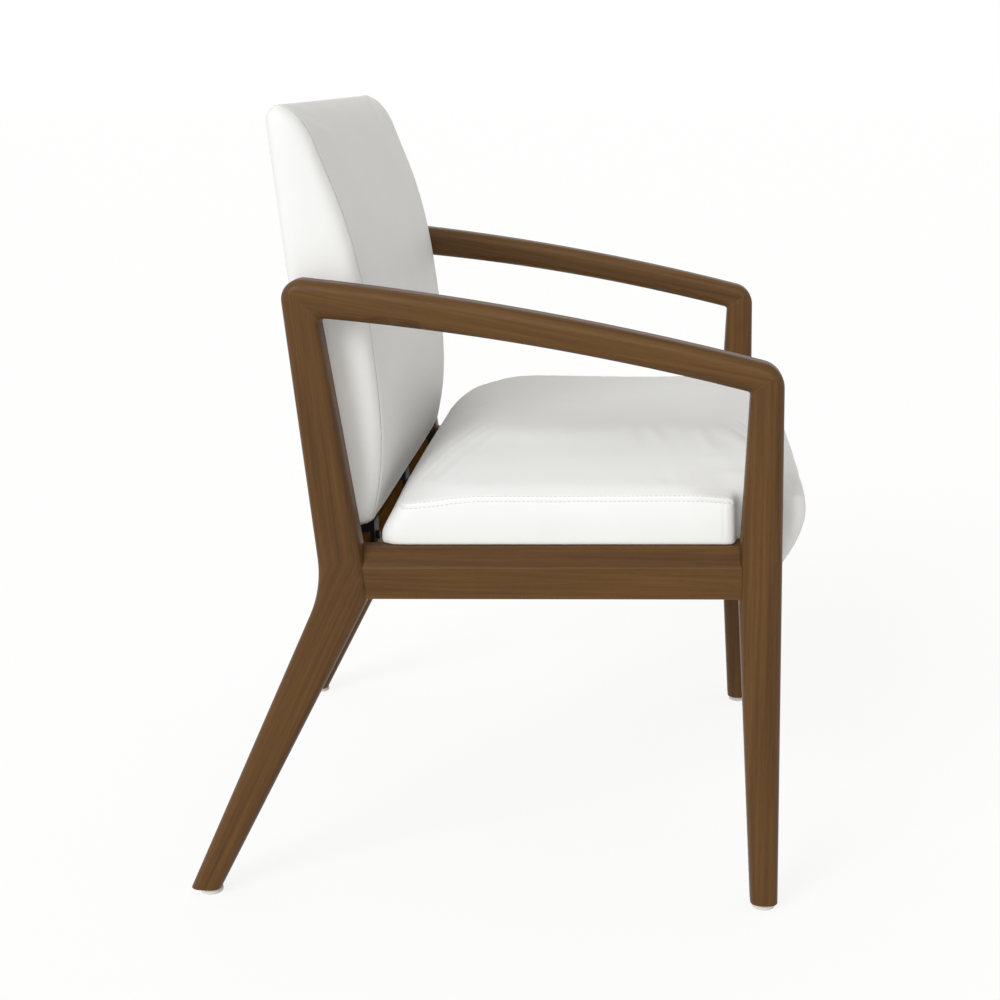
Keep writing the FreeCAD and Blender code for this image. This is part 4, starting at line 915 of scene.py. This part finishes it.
# How the grain lies, and where the rear legs bend
SIDES = ("right", "left")
ENDS = ("front", "rear")
ALONG_X = NO_OFFSET
ALONG_Y = (0.0, 0.0, -QUARTER)
ALONG_Z = (0.0, QUARTER, 0.0)
ARM_SLOPE = math.radians(-11.0)
KNEE_HEIGHT = 0.372
UPRIGHT_RUN = 0.106
SPLAY_RUN = -0.47

leg_wood = walnut("walnut_front_leg", ALONG_Z)
bent_wood = walnut("walnut_rear_leg", ALONG_Z, bend=(KNEE_HEIGHT, UPRIGHT_RUN, SPLAY_RUN))
arm_wood = walnut("walnut_arm", (ARM_SLOPE, 0.0, -QUARTER))
rail_wood = walnut("walnut_side_rail", ALONG_Y)
cross_wood = walnut("walnut_cross_rail", ALONG_X, gloss=0.0, lacquer=0.0)
pale_wood = grained(
    "inner_wood_plain", dark=(0.42, 0.29, 0.17), light=(0.55, 0.40, 0.25),
    turn=ALONG_X, across=240.0, roughness=0.6,
)
dowel_wood = grained(
    "dowel_wood_plain", dark=(0.45, 0.32, 0.19), light=(0.58, 0.43, 0.28),
    turn=ALONG_Y, across=400.0, roughness=0.6,
)
ply = grained(
    "plywood_plain", dark=(0.47, 0.34, 0.20), light=(0.60, 0.46, 0.30),
    turn=ALONG_X, across=160.0, roughness=0.55,
)
strap = woven(
    "webbing_weave", dark=(0.10, 0.10, 0.09), light=(0.22, 0.21, 0.19),
    pitch=0.004, roughness=0.8,
)
dust_cloth = woven(
    "dust_cloth_weave", dark=(0.020, 0.020, 0.020), light=(0.045, 0.045, 0.045),
    pitch=0.0024, roughness=0.9,
)
black_steel = speckled(
    "black_powder_coat", dark=(0.006, 0.006, 0.006), light=(0.015, 0.015, 0.014),
    scale=1500.0, roughness=0.5, gloss=0.08,
)
zinc_steel = speckled(
    "zinc_plated_steel", dark=(0.52, 0.52, 0.50), light=(0.68, 0.68, 0.66),
    scale=900.0, roughness=0.34, metallic=1.0,
)
nylon = speckled(
    "pale_nylon", dark=(0.66, 0.64, 0.59), light=(0.76, 0.74, 0.69),
    scale=700.0, roughness=0.45,
)
foam = speckled(
    "pale_foam", dark=(0.60, 0.55, 0.40), light=(0.75, 0.70, 0.55),
    scale=500.0, roughness=0.9,
)
cloth_white = upholstery()
thread_white = thread("white_sewing_thread", dark=(0.60, 0.60, 0.59), light=(0.74, 0.74, 0.73))
# Seam thread made grey, darker than the cloth, so that it also stands for the shade in the seam grooves:
# partly real thread, partly painted shade
thread_and_seam_shade = thread("seam_thread_and_painted_shade", dark=(0.40, 0.40, 0.385), light=(0.50, 0.50, 0.485))

for side in SIDES:
    dress(leg_wood, f"{side}_front_leg")
    dress(bent_wood, f"{side}_rear_leg")
    dress(arm_wood, f"{side}_arm_rail")
    dress(rail_wood, f"{side}_side_rail")
    dress(pale_wood, f"{side}_back_stile")
    for end in ENDS:
        dress(nylon, f"{side}_{end}_glide_base")
        dress(zinc_steel, f"{side}_{end}_glide_stem")
        dress(pale_wood, f"{side}_{end}_corner_block")
for place in ("right", "centre", "left"):
    dress(black_steel, f"{place}_back_bracket")
dress(cross_wood, "front_rail", "rear_rail")
dress(pale_wood, "back_top_rail", "back_bottom_rail", "seat_nose_board")
dress(dowel_wood, "arm_dowels", "side_rail_dowels", "cross_rail_dowels")
dress(ply, "seat_deck", "back_panel")
dress(strap, "back_webbing")
dress(black_steel, "bracket_screws", "back_spacers")
dress(zinc_steel, "foot_inserts", "back_inserts", "back_bolts", "back_base_bolts")
dress(zinc_steel, "corner_block_screws", "seat_bolts", "seat_tee_nuts", "nose_screws")
dress(foam, "seat_foam", "seat_nose_foam", "back_foam")


# Seat cushion
def seat_free(piece):
    """How freely each point of the seat's skin may move while it is filled."""
    x, y, z = localised(mesh_points(piece.data), SEAT_ORIGIN, SEAT_RAKE).T
    low = smoothstep(*SEAT_HELD_LOW, z)
    seam_hold = np.clip(np.abs(z - SEAT_SEAM) / SEAT_HELD_SEAM, SEAT_HELD_LEAST, 1.0)
    side_hold = np.where(np.abs(x) > SEAT_HALF - SEAT_HELD_SIDE, seam_hold, 1.0)
    from_notch = np.hypot(np.maximum(NOTCH_HALF - np.abs(x), 0), np.maximum(y - NOTCH_Y, 0))
    notch_hold = np.where(y < NOTCH_Y + SEAT_HELD_AHEAD, smoothstep(*SEAT_HELD_NOTCH, from_notch), 1.0)
    nose_free = smoothstep(*NOSE_FREE_HEIGHT, z) * smoothstep(*NOSE_FREE_DEPTH, y) * NOSE_FREE_SHARE
    return np.maximum(low * side_hold * notch_hold, nose_free)


def seat_cushion():
    """The seat: two overlapping closed forms made into one even skin, and filled."""
    bm = bmesh.new()
    turns = [QUARTER * i / ROUND_STEPS for i in range(ROUND_STEPS)]
    ends = [-NOTCH_HALF + NOSE_END_ROUND * (1 - math.cos(turn)) for turn in turns]
    flat = NOTCH_HALF - NOSE_END_ROUND
    inner = list(np.linspace(-flat, flat, NOSE_ACROSS))
    loft(bm, [nose_loop(x) for x in ends + inner + [-x for x in reversed(ends)]])
    loft(bm, [wing_loop(x) for x in np.linspace(-SEAT_HALF, SEAT_HALF, WING_ACROSS)])
    piece = remeshed("seat_cushion", bm, shape_seat, hem_seat, SEAT_ORIGIN, SEAT_RAKE)
    swell(piece, seat_free(piece))
    refine(piece)
    return piece


def seat_seam_line():
    """The boxing seam round the sides and rear of the seat, near its skin."""
    corner_x = SEAT_HALF - SEAT_REAR_ROUND
    corner_y = REAR_SEAM - SEAT_REAR_ROUND
    half = [(-SEAT_HALF, y) for y in np.linspace(NOTCH_Y + SEAM_START, corner_y, SEAM_SIDE_POINTS)]
    for turn in np.linspace(0, QUARTER, SEAM_ROUND_POINTS)[1:-1]:
        x = -corner_x - SEAT_REAR_ROUND * math.cos(turn)
        half.append((x, corner_y + SEAT_REAR_ROUND * math.sin(turn)))
    half += [(x, REAR_SEAM) for x in np.linspace(-corner_x, 0.0, SEAM_REAR_POINTS)]
    plan = np.array(half + [(-x, y) for x, y in reversed(half[:-1])])
    heights = SEAT_SEAM - rear_drop(plan[:, 0], plan[:, 1])
    return placed(np.column_stack([plan, heights]), SEAT_ORIGIN, SEAT_RAKE)


def side_lines(piece):
    """An upright seam on each side of the seat, near the front end of the boxing."""
    heights = np.linspace(UPRIGHT_SEAM_LOW, SEAT_SEAM - UPRIGHT_SEAM_UNDER, UPRIGHT_SEAM_POINTS)
    paths = []
    for sign in (-1.0, 1.0):
        outside = sign * (SEAT_HALF + RAY_START)
        starts = placed([(outside, UPRIGHT_SEAM_Y, z) for z in heights], SEAT_ORIGIN, SEAT_RAKE)
        aims = placed([(-sign, 0, 0)] * len(heights), NO_OFFSET, SEAT_RAKE)
        paths.append(cast_path(piece, starts, aims))
    return paths


# Seams and stitches of the seat
SEAM_START = 3.0
SEAM_SIDE_POINTS = 150
SEAM_ROUND_POINTS = 24
SEAM_REAR_POINTS = 120
UPRIGHT_SEAM_Y = -236.5
UPRIGHT_SEAM_LOW = 4.0
UPRIGHT_SEAM_UNDER = 2.0
UPRIGHT_SEAM_POINTS = 40
RAY_START = 60.0
SEAM_STEP = 1.0 * MM
ROW_STEP = 3.0 * MM
STITCH_PITCH = 4.6 * MM
STITCH_SHARE = 0.74
STITCH_RADIUS = 0.42 * MM
STITCH_OFFSET = 2.9 * MM

# Where the seat's cloth lies in low folds
NOSE_FOLD_DEPTH = (-296.0, -314.0)
NOSE_FOLD_HEIGHT = (-40.0, -10.0)
SEAM_FOLD_HEIGHT = 16.0
SEAM_FOLD_SIDE = (SEAT_HALF - 26.0, SEAT_HALF - 6.0)
TOP_FOLD_HEIGHT = (SEAT_SEAM + 4.0, SEAT_SEAM + 20.0)

seat = seat_cushion()
seat_x, seat_y, seat_z = localised(mesh_points(seat.data), SEAT_ORIGIN, SEAT_RAKE).T
on_nose = smoothstep(*NOSE_FOLD_DEPTH, seat_y) * smoothstep(*NOSE_FOLD_HEIGHT, seat_z)
by_seam = np.exp(-np.abs(seat_z - SEAT_SEAM) / SEAM_FOLD_HEIGHT)
by_seam *= smoothstep(*SEAM_FOLD_SIDE, np.abs(seat_x))
on_top = smoothstep(*TOP_FOLD_HEIGHT, seat_z)
crease(seat, on_nose, scale=(42.0, 6.0, 9.0), depth=0.9 * MM, shift=3.1)
crease(seat, by_seam, scale=(8.0, 48.0, 14.0), depth=0.7 * MM, shift=7.7)
crease(seat, on_top, scale=(6.0, 7.0, 4.0), depth=0.5 * MM, shift=12.3)
seam = resampled(on_skin(seat, seat_seam_line())[0], SEAM_STEP)
upright = [resampled(path, SEAM_STEP) for path in side_lines(seat)]
row = resampled(seam, ROW_STEP)
stitch_rows = [beside(seat, row, offset) for offset in (STITCH_OFFSET, -STITCH_OFFSET)]
press_seam(seat, [seam], depth=0.7 * MM, width=1.4 * MM)
press_seam(seat, upright, depth=0.3 * MM, width=0.9 * MM)
seat_stitches = stitched("seat_stitches", seat, stitch_rows, STITCH_PITCH, STITCH_SHARE, STITCH_RADIUS)


# Back cushion
def back_free(piece):
    """How freely each point of the back's skin may move while it is filled."""
    x, y, z = localised(mesh_points(piece.data), BACK_ORIGIN, BACK_LEAN).T
    from_edge = BACK_HALF - np.abs(x)
    front = smoothstep(*BACK_HELD_FRONT, -y / BACK_HELD_DEPTH)
    seam_hold = np.clip(np.abs(from_edge - BACK_HELD_EDGE) / BACK_HELD_SEAM, BACK_HELD_LEAST, 1.0)
    rear = smoothstep(*BACK_HELD_REAR, -y)
    low = smoothstep(*BACK_HELD_LOW, z)
    return rear * low * np.where(front > 0.5, seam_hold, 1.0)


def back_cushion():
    """The back: one boxed form with soft edges, made into one even skin, and filled."""
    bm = bmesh.new()
    loft(bm, back_loops())
    piece = remeshed("back_cushion", bm, None, None, BACK_ORIGIN, BACK_LEAN)
    swell(piece, back_free(piece))
    refine(piece)
    return piece


def back_seam_paths(piece):
    """The seams between the boxing and the front panel, up each side and over the top."""
    paths = []
    for sign in (-1.0, 1.0):
        x = sign * (BACK_HALF - BACK_SEAM_INSIDE)
        starts = []
        aims = []
        for z in np.linspace(BACK_SEAM_LOW, BACK_SEAM_TURN, BACK_SEAM_POINTS):
            starts.append((x, BACK_RAY_FRONT, z))
            aims.append((0.0, 1.0, 0.0))
        for turn in np.linspace(0.0, BACK_SEAM_OVER, BACK_SEAM_TOP_POINTS)[1:]:
            aim = (0.0, math.cos(turn), -math.sin(turn))
            y = BACK_SEAM_CENTRE - BACK_RAY_REACH * aim[1]
            starts.append((x, y, BACK_SEAM_TURN - BACK_RAY_REACH * aim[2]))
            aims.append(aim)
        world_starts = placed(starts, BACK_ORIGIN, BACK_LEAN)
        paths.append(cast_path(piece, world_starts, placed(aims, NO_OFFSET, BACK_LEAN)))
    return paths


def rear_panel_path(piece):
    """The seam round the rear panel, with rounded corners."""
    round_x = BACK_HALF - REAR_SEAM_INSIDE - REAR_SEAM_ROUND
    low = REAR_SEAM_INSIDE + REAR_SEAM_ROUND
    high = BACK_HEIGHT - REAR_SEAM_INSIDE - REAR_SEAM_ROUND
    centres = ((round_x, high), (-round_x, high), (-round_x, low), (round_x, low))
    corners = []
    for quarter, (centre_x, centre_z) in enumerate(centres):
        for turn in QUARTER * (quarter + np.linspace(0.0, 1.0, REAR_PANEL_POINTS)):
            x = centre_x + REAR_SEAM_ROUND * math.cos(turn)
            corners.append((x, 0.0, centre_z + REAR_SEAM_ROUND * math.sin(turn)))
    loop = resampled(placed(corners + corners[:1], BACK_ORIGIN, BACK_LEAN), ROW_STEP)
    return on_skin(piece, loop)[0]


# Seams and low folds of the back
BACK_SEAM_LOW = 10.0
BACK_SEAM_TURN = 395.0
BACK_SEAM_CENTRE = -20.0
BACK_SEAM_OVER = QUARTER * 1.1
BACK_SEAM_POINTS = 160
BACK_SEAM_TOP_POINTS = 40
BACK_RAY_FRONT = -160.0
BACK_RAY_REACH = 100.0
REAR_PANEL_POINTS = 9
FRONT_FOLD_DEPTH = (-22.0, -40.0)
EDGE_FOLD_SIDE = (BACK_HALF - 95.0, BACK_HALF - 30.0)
SIDE_FOLD_SIDE = (BACK_HALF - 6.0, BACK_HALF - 1.0)
PIPE_RADIUS = 0.55 * MM
PIPE_SUNK = 0.25 * MM

back = back_cushion()
back_x, back_y, _ = localised(mesh_points(back.data), BACK_ORIGIN, BACK_LEAN).T
on_front = smoothstep(*FRONT_FOLD_DEPTH, back_y)
by_edge = smoothstep(*EDGE_FOLD_SIDE, np.abs(back_x)) * on_front
on_side = smoothstep(*SIDE_FOLD_SIDE, np.abs(back_x))
crease(back, by_edge, scale=(62.0, 4.0, 5.5), depth=0.9 * MM, shift=4.4)
crease(back, on_front, scale=(6.0, 3.0, 6.0), depth=0.7 * MM, shift=9.2)
crease(back, on_side, scale=(4.0, 40.0, 7.0), depth=0.6 * MM, shift=15.8)
back_seams = [resampled(path, SEAM_STEP) for path in back_seam_paths(back) + [rear_panel_path(back)]]
press_seam(back, back_seams, depth=1.0 * MM, width=1.5 * MM)
# A thin grey thread along the back's seams: partly real thread, partly a painted shade line in the grooves
back_seam_lines = piped("back_seam_lines", back, back_seams, PIPE_RADIUS, PIPE_SUNK)

# Dust cover under the deck
DUST_COLUMNS = 45
DUST_ROWS = 30
DUST_CLEAR = 0.0006
DUST_SAG = 2.5 * MM
DUST_SAG_POWER = 0.6
DUST_RIPPLE = 0.0008
DUST_RIPPLE_SCALE = 14
DUST_RIPPLE_EDGE = 8
DUST_THICKNESS = 0.4 * MM


def dust_cover():
    """A rectangle of cloth that sags a little in the middle, and its flat size."""
    low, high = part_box("seat_dust_cover")
    slope = math.tan(SEAT_RAKE)
    bm = bmesh.new()
    grid = []
    for j in range(DUST_ROWS + 1):
        row = []
        for i in range(DUST_COLUMNS + 1):
            u = i / DUST_COLUMNS
            v = j / DUST_ROWS
            x = low.x + (high.x - low.x) * u
            y = low.y + (high.y - low.y) * v
            hang = DUST_SAG * (4 * u * (1 - u) * 4 * v * (1 - v)) ** DUST_SAG_POWER
            wave = noise.noise(Vector((x * DUST_RIPPLE_SCALE, y * DUST_RIPPLE_SCALE, 0.0)))
            ripple = DUST_RIPPLE * wave * min(DUST_RIPPLE_EDGE * u * (1 - u), 1)
            z = high.z - slope * (y - low.y) - DUST_CLEAR - hang + ripple * hang / DUST_SAG
            row.append(bm.verts.new((x, y, z)))
        grid.append(row)
    for j in range(DUST_ROWS):
        for i in range(DUST_COLUMNS):
            bm.faces.new((grid[j][i], grid[j + 1][i], grid[j + 1][i + 1], grid[j][i + 1]))
    piece = new_object("dust_sheet", new_mesh("dust_sheet", bm))
    thick = piece.modifiers.new("thick", "SOLIDIFY")
    thick.thickness = DUST_THICKNESS
    apply_modifiers(piece)
    shade_smooth(piece.data)
    return piece, (high.x - low.x, (high.y - low.y) / math.cos(SEAT_RAKE))


dust, dust_flat = dust_cover()

# What each new piece is made of and the body it rides on; the slot each stands for is listed but not used
for piece, material, slot in (
    (seat, cloth_white, "white_upholstery"),
    (back, cloth_white, "white_upholstery"),
    (seat_stitches, thread_white, "white_upholstery"),
    (back_seam_lines, thread_and_seam_shade, "white_upholstery"),
    (dust, dust_cloth, "dust_cloth"),
):
    piece.data.materials.clear()
    piece.data.materials.append(material)
    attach(piece, BODY)
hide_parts("seat_cover", "seat_foam", "seat_nose_foam")
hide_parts("back_cover", "back_foam")
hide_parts("seat_dust_cover")

# Floor and light
FLOOR_REACH = 30.0
FLOOR_GREY = (0.86, 0.86, 0.86, 1.0)
FLOOR_ROUGHNESS = 0.9
FLOOR_WHITE = 1.06
FLOOR_SEEN = 0.80
FILL_STRENGTH = 0.54
FILL_COLOUR = (1.0, 0.985, 0.94, 1.0)
KEY_COLOUR = (0.94, 0.97, 1.0)
FRONT_COLOUR = (1.0, 0.98, 0.95)


def in_sight(tree):
    """1 for rays from the camera, by reflection or through something clear."""
    path = add(tree, "ShaderNodeLightPath").outputs
    seen = maths(tree, "MAXIMUM", path["Is Camera Ray"], path["Is Transmission Ray"])
    return maths(tree, "MAXIMUM", seen, path["Is Glossy Ray"])


def floor():
    """A wide pale floor that looks white to the camera and keeps a faint shadow."""
    mesh = bpy.data.meshes.new("floor")
    corners = [(x * FLOOR_REACH, y * FLOOR_REACH, 0.0) for x, y in ((-1, -1), (1, -1), (1, 1), (-1, 1))]
    mesh.from_pydata(corners, [], [(0, 1, 2, 3)])
    piece = new_object("floor", mesh)
    material, tree, main = shader("pale_floor")
    main.inputs["Base Color"].default_value = FLOOR_GREY
    main.inputs["Roughness"].default_value = FLOOR_ROUGHNESS
    white = add(tree, "ShaderNodeEmission", None, {"Color": WHITE, "Strength": FLOOR_WHITE})
    share = scaled(tree, in_sight(tree), FLOOR_SEEN)
    mixed = add(tree, "ShaderNodeMixShader", None, {0: share, 1: main.outputs[0], 2: white.outputs[0]})
    tree.links.new(mixed.outputs[0], tree.nodes["Material Output"].inputs["Surface"])
    mesh.materials.append(material)


def sky():
    """A white surround for the camera and for reflections, and a dimmer one as fill light."""
    world = bpy.data.worlds.new("studio")
    bpy.context.scene.world = world
    world.use_nodes = True
    tree = world.node_tree
    tree.nodes.clear()
    fill = add(tree, "ShaderNodeBackground", None, {"Color": FILL_COLOUR, "Strength": FILL_STRENGTH})
    white = add(tree, "ShaderNodeBackground", None, {"Color": WHITE, "Strength": 1.0})
    sockets = {0: in_sight(tree), 1: fill.outputs[0], 2: white.outputs[0]}
    mixed = add(tree, "ShaderNodeMixShader", None, sockets)
    out = add(tree, "ShaderNodeOutputWorld", None, {"Surface": mixed.outputs[0]})
    out.is_active_output = True


def sun(name, strength, softness, towards, colour, shadow=True):
    """A soft far light that shines along a direction."""
    light = bpy.data.lights.new(name, "SUN")
    light.energy = strength
    light.angle = math.radians(softness)
    light.color = colour
    light.use_shadow = shadow
    made = new_object(name, light)
    made.rotation_euler = Vector(towards).to_track_quat("-Z", "Y").to_euler()


floor()
sky()
sun("key", strength=1.66, softness=30.0, towards=(0.75, -0.47, -0.47), colour=KEY_COLOUR)
sun("front", strength=0.50, softness=20.0, towards=(0.94, 0.10, -0.30), colour=FRONT_COLOUR, shadow=False)

# Camera
CAMERA_PLACE = (-1.90078, -0.16536, 0.86444)
CAMERA_FORWARD = (0.97493, 0.05691, -0.21510)
CAMERA_RIGHT = (0.05827, -0.99830, 0.0)
CAMERA_SENSOR = 36.0
CAMERA_LENS = 59.73
CAMERA_SHIFT = (-0.06, -0.07)

camera = bpy.data.cameras.new("camera")
camera.sensor_width = CAMERA_SENSOR
camera.lens = CAMERA_LENS
camera.shift_x, camera.shift_y = CAMERA_SHIFT
camera_object = new_object("camera", camera)
right = Vector(CAMERA_RIGHT)
forward = Vector(CAMERA_FORWARD)
up = right.cross(forward)
facing = Matrix((right, up, -forward)).transposed()
camera_object.matrix_world = Matrix.Translation(CAMERA_PLACE) @ facing.to_4x4()
bpy.context.scene.camera = camera_object
bpy.context.scene.view_settings.view_transform = "Standard"
